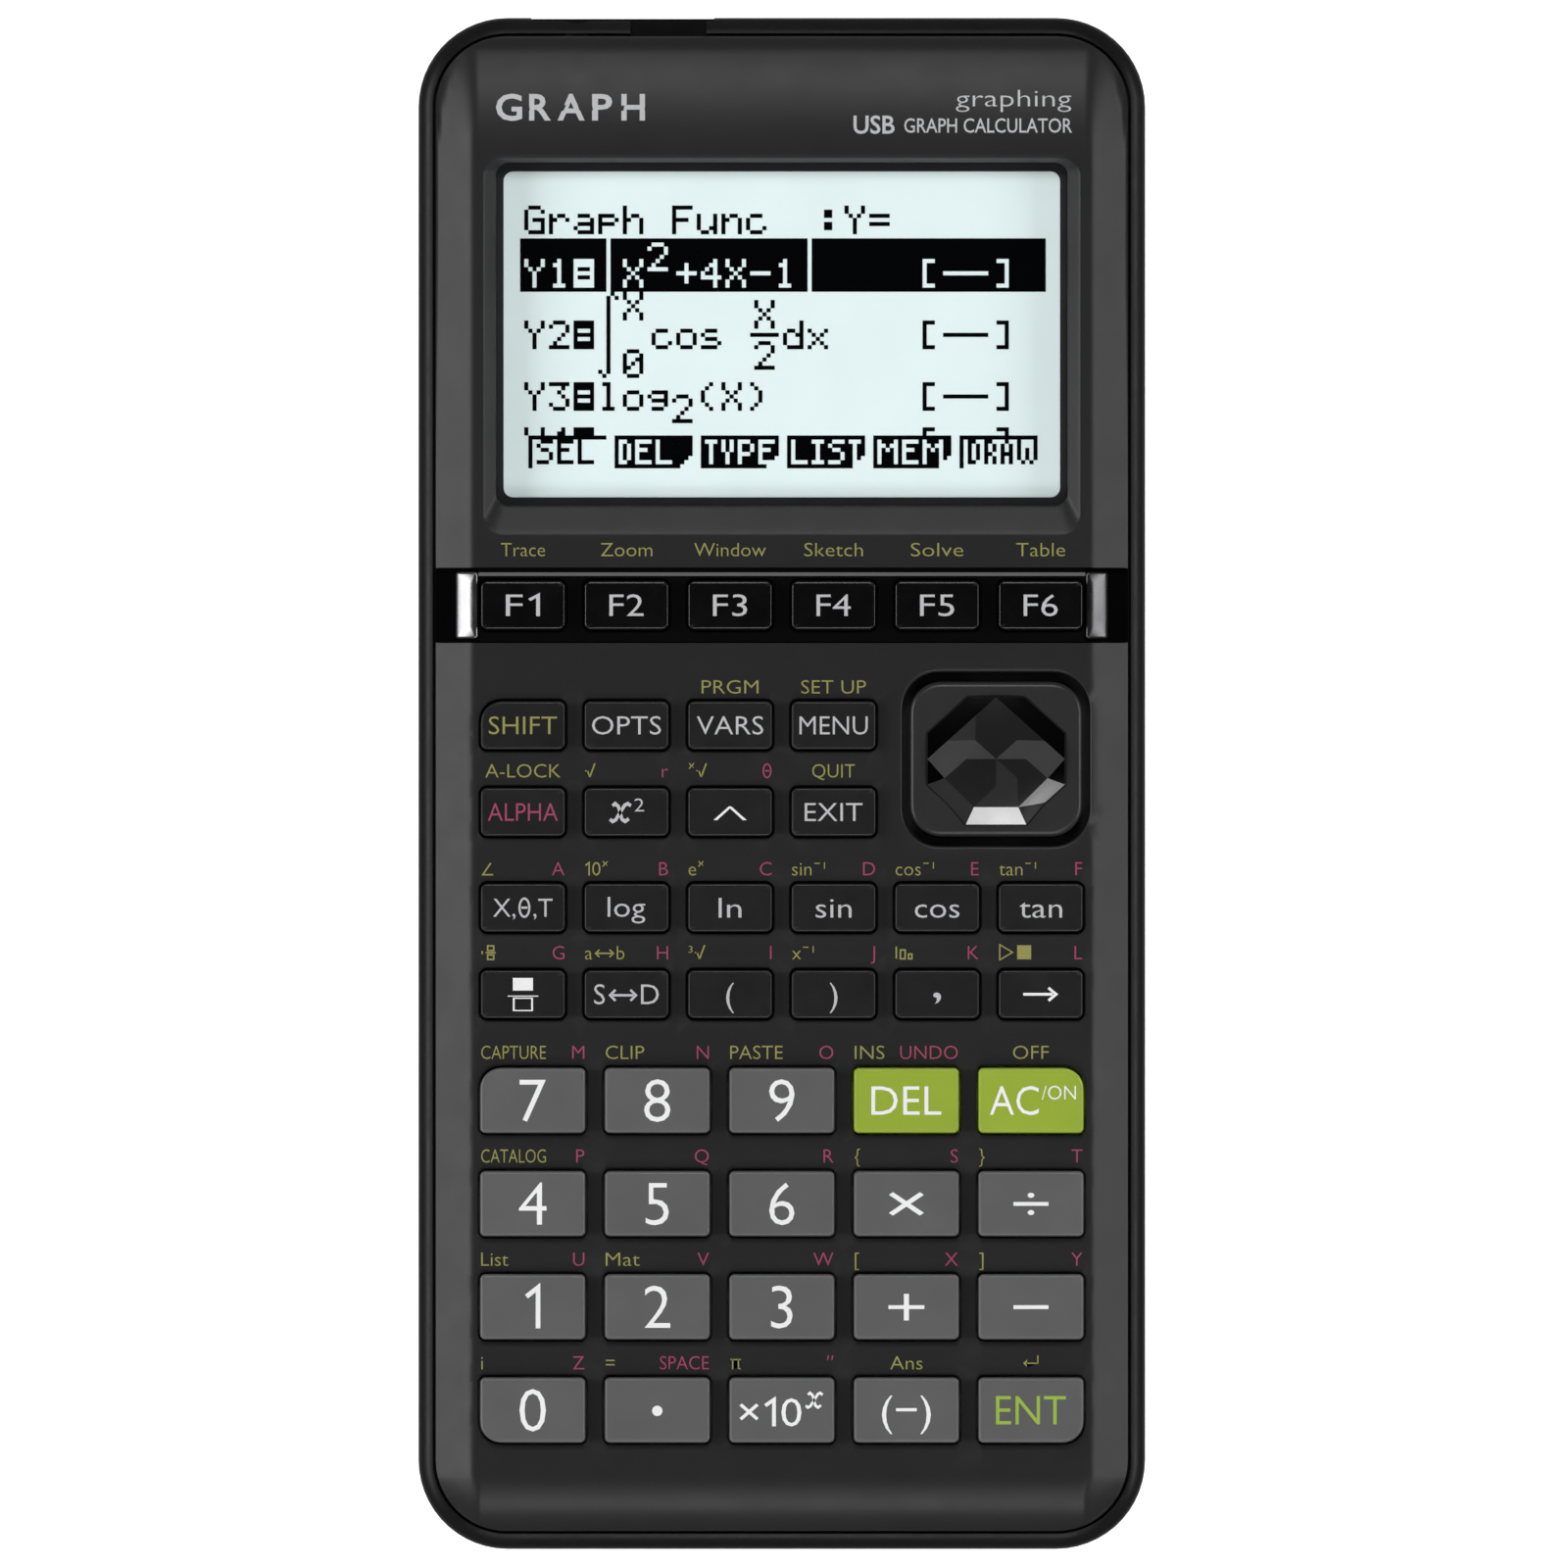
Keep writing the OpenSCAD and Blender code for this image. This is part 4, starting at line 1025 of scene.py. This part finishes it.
# Soft-key letters: six rows, at the left of five dots
SMALL = {"S": (14, 16, 12, 2, 2, 28), "E": (30, 16, 28, 16, 16, 30), "L": (16, 16, 16, 16, 16, 30),
         "D": (24, 20, 20, 20, 20, 24), "T": (28, 8, 8, 8, 8, 8), "Y": (20, 20, 20, 8, 8, 8),
         "P": (28, 18, 18, 28, 16, 16), "I": (28, 8, 8, 8, 8, 28), "M": (17, 27, 21, 17, 17, 17),
         "R": (24, 20, 20, 24, 20, 20), "A": (8, 20, 20, 28, 20, 20), "W": (17, 17, 21, 21, 21, 10)}


def small_width(letter):
    """Width of a small letter in dots, from its rightmost dot."""
    return next(w for w in (5, 4, 3) if any(bits >> (5 - w) & 1 for bits in SMALL[letter]))


ROWS, COLUMNS, DOT = 64, 128, 0.47       # dots, and their pitch
MIDDLE_X, TOP_Y = 0.13, 14.75            # the picture's middle, and its top from the opening's middle


def draw_dots():
    """The picture: which dots are dark, by row and column from the top left."""
    grid = np.zeros((ROWS, COLUMNS), bool)

    def put(text, row, col, on=True, font=FONT):
        for ch in text:
            for j, bits in enumerate(font.get(ch, ())):
                for i in range(5):
                    if bits >> (4 - i) & 1:
                        grid[row + j, col + i] = on
            col += 6

    def box(top, on=True):
        """The equals sign in a filled box."""
        grid[top:top + 7, 13:18] = on
        grid[top + 2, 14:17] = grid[top + 4, 14:17] = not on

    put("Graph Func", 0, 1)
    put(":Y=", 0, 73)
    grid[8:21, :] = True
    grid[8:21, 21] = grid[8:21, 70] = False
    put("Y1", 13, 1, False)
    box(13, False)
    put("X", 13, 25, False)
    put("2", 9, 31, False)
    put("+4X-1", 13, 38, False)
    put("Y2", 28, 1)
    box(28)
    grid[22:41, 21] = True
    grid[21, 22] = grid[22, 23] = grid[41, 20] = grid[40, 19] = True
    put("X", 21, 25)
    put("0", 35, 25)
    put("cos", 28, 32)
    put("X", 23, 57)
    grid[31, 56:63] = True
    put("2", 33, 57)
    put("dx", 28, 64)
    put("Y3", 43, 1)
    box(43)
    put("log", 43, 19)
    put("2", 46, 37)
    put("(X)", 43, 43)
    put("Y4", 54, 1)
    box(54)
    for top in (13, 28, 43, 54):
        put("[", top, 97, top != 13)
        put("]", top, 115, top != 13)
        grid[top + 3, 103:114] = top != 13
    soft_top, wide = 56, 19
    grid[soft_top:, :] = False
    for i, word in enumerate(("SEL", "DEL", "TYPE", "LIST", "MEM", "DRAW")):
        c = 2 + i * 21
        solid = 0 < i < 5
        if solid:
            grid[soft_top:, c:c + wide] = True
            for k in range(3):
                grid[61 + k, c + wide - 1 - k:c + wide] = False
        else:
            grid[soft_top, c:c + wide] = grid[soft_top:, c] = True
        col = c + (1 if solid else 2)
        for ch in word:
            put(ch, soft_top + 1, col, not solid, SMALL)
            col += small_width(ch) + 1
    return grid


def build_dots():
    s = Shape()
    z0 = span("display_panel")[5]
    x0, y0 = MIDDLE_X - COLUMNS / 2 * DOT, opening[2] + TOP_Y
    half = DOT * 0.4996
    for j, row in enumerate(draw_dots()):
        turns = np.flatnonzero(np.diff(np.concatenate(([0], row.astype(int), [0]))))
        cy = y0 - (j + 0.5) * DOT
        for a, b in zip(turns[::2], turns[1::2]):
            left, right = x0 + a * DOT + 0.001, x0 + b * DOT - 0.001
            run = [(left, cy - half), (right, cy - half), (right, cy + half), (left, cy + half)]
            low, high = s.loop(run, z0 + 0.01), s.loop(run, z0 + 0.03)
            s.skirt(low, high)
            s.face(high)
            s.face(low[::-1])
    s.make("display_dots", [M["dots"]], "case", "display", angle=0, weld=1e-5)


build_dots()


# ---- CAD nodes that show as they are

def dress(node, *mats, pick=None):
    """Gives a CAD node its materials; pick says which one a face takes, from its middle and normal."""
    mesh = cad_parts[node].data
    mesh.materials.clear()
    for m in mats:
        mesh.materials.append(m)
    if pick:
        for p in mesh.polygons:
            p.material_index = pick(*(v / MM for v in p.center), p.normal)


for part, look in (("rear_case", "rear"), ("battery_cover", "rear"), ("display_window", "window"),
                   ("display_panel", "lcd"), ("key_mat", "mat"), ("screws", "steel"), ("feet", "rubber"),
                   ("cursor_pivot", "mat"), ("restart_button", "restart")):
    dress(part, M[look])
dress("batteries", M["sleeve"], M["plated"], pick=lambda x, y, z, n: int(abs(n[1]) > 0.5))


def board_part(x, y, z, _):
    """0 is a board, 1 plated metal (USB shell, battery contacts), 2 dark resin (link jack, chips)."""
    if y > 75.5 and -17 < x < -9 and z < 14.0:
        return 1
    if y > 75 and x < -19 and z < 14.0:
        return 2
    if abs(x) < 22.5 and 25 < y < 75 and z < 13.4:
        return 1
    return 0 if 12.8 < z < 14.9 else 2


dress("circuit_boards", M["board"], M["plated"], M["chip"], pick=board_part)


# ---- floor, light, camera

def floor_material():
    m = bpy.data.materials.new("floor_paper")
    m.use_nodes = True
    nt = m.node_tree
    bsdf = nt.nodes["Principled BSDF"]
    bsdf.inputs["Base Color"].default_value = (0.8, 0.8, 0.8, 1)
    bsdf.inputs["Roughness"].default_value = 0.9
    bsdf.inputs["Specular IOR Level"].default_value = 0.1
    bsdf.inputs["Emission Color"].default_value = (1, 1, 1, 1)
    bsdf.inputs["Emission Strength"].default_value = 0.75
    glassy = nt.nodes.new("ShaderNodeBsdfTransparent")
    mix = nt.nodes.new("ShaderNodeMixShader")
    geo = nt.nodes.new("ShaderNodeNewGeometry")
    nt.links.new(geo.outputs["Backfacing"], mix.inputs[0])
    nt.links.new(bsdf.outputs[0], mix.inputs[1])
    nt.links.new(glassy.outputs[0], mix.inputs[2])
    nt.links.new(mix.outputs[0], nt.nodes["Material Output"].inputs["Surface"])
    return m


bpy.ops.mesh.primitive_plane_add(size=8, location=(0, 0, 0))
ground = bpy.context.object
ground.name = "floor"
ground.data.materials.append(floor_material())
ground.visible_glossy = False                 # gloss shows the dark studio, not the table


def softbox(name, azimuth, elevation, distance, size, power):
    """Area light round the object: azimuth 0 is +X, 90 is +Y."""
    a, e = math.radians(azimuth), math.radians(elevation)
    light = bpy.data.lights.new(name, "AREA")
    light.shape = "RECTANGLE"
    light.size, light.size_y = size
    light.energy = power
    o = bpy.data.objects.new(name, light)
    o.location = Vector((math.cos(a) * math.cos(e), math.sin(a) * math.cos(e), math.sin(e))) * distance
    o.rotation_euler = (-o.location).to_track_quat("-Z", "Y").to_euler()
    scene.collection.objects.link(o)


softbox("left_box", 180, 24, 1.6, (1.3, 0.5), 17)
softbox("right_box", 0, 24, 1.6, (1.3, 0.5), 12)
softbox("top_box", 90, 55, 1.6, (0.7, 0.4), 7.8)
softbox("bottom_box", 270, 40, 1.6, (0.9, 0.35), 6.4)
softbox("low_right_box", 292, 58, 1.6, (0.85, 0.32), 4.0)

world = bpy.data.worlds.new("studio")
world.use_nodes = True
scene.world = world
nt = world.node_tree
back = nt.nodes["Background"]
coord = nt.nodes.new("ShaderNodeTexCoord").outputs["Generated"]
axes = nt.nodes.new("ShaderNodeSeparateXYZ")
nt.links.new(coord, axes.inputs[0])
up = axes.outputs["Z"]
# Dim room: darker straight above, and lit again from far below
level = combine(nt, "MULTIPLY", spread(nt, up, 0.25, 0.016, 0.1, 0.8), spread(nt, up, 0.3, 1.0, -0.25, 0.0))
level = combine(nt, "ADD", level, spread(nt, up, 0.4, 0.0, -0.85, -0.45))
back.inputs["Color"].default_value = (1, 1, 1, 1)
nt.links.new(level, back.inputs["Strength"])

scene.view_settings.view_transform = "Standard"
scene.view_settings.look = "None"

camera = bpy.data.cameras.new("camera")
camera.sensor_width = 36
camera.lens = 700
camera.clip_end = 50
eye = bpy.data.objects.new("camera", camera)
scene.collection.objects.link(eye)
SCALE = 8.905                      # picture points per millimetre, at the height of the rear case's rim
rim_height = 13.0
POINTS = 1600                      # along a side of the picture
reach = POINTS / SCALE / camera.sensor_width * camera.lens
middle_x, middle_y = 0.25, -0.06   # what the picture is centred on
eye.location = (middle_x * MM, middle_y * MM, (rim_height + reach) * MM)
scene.camera = eye
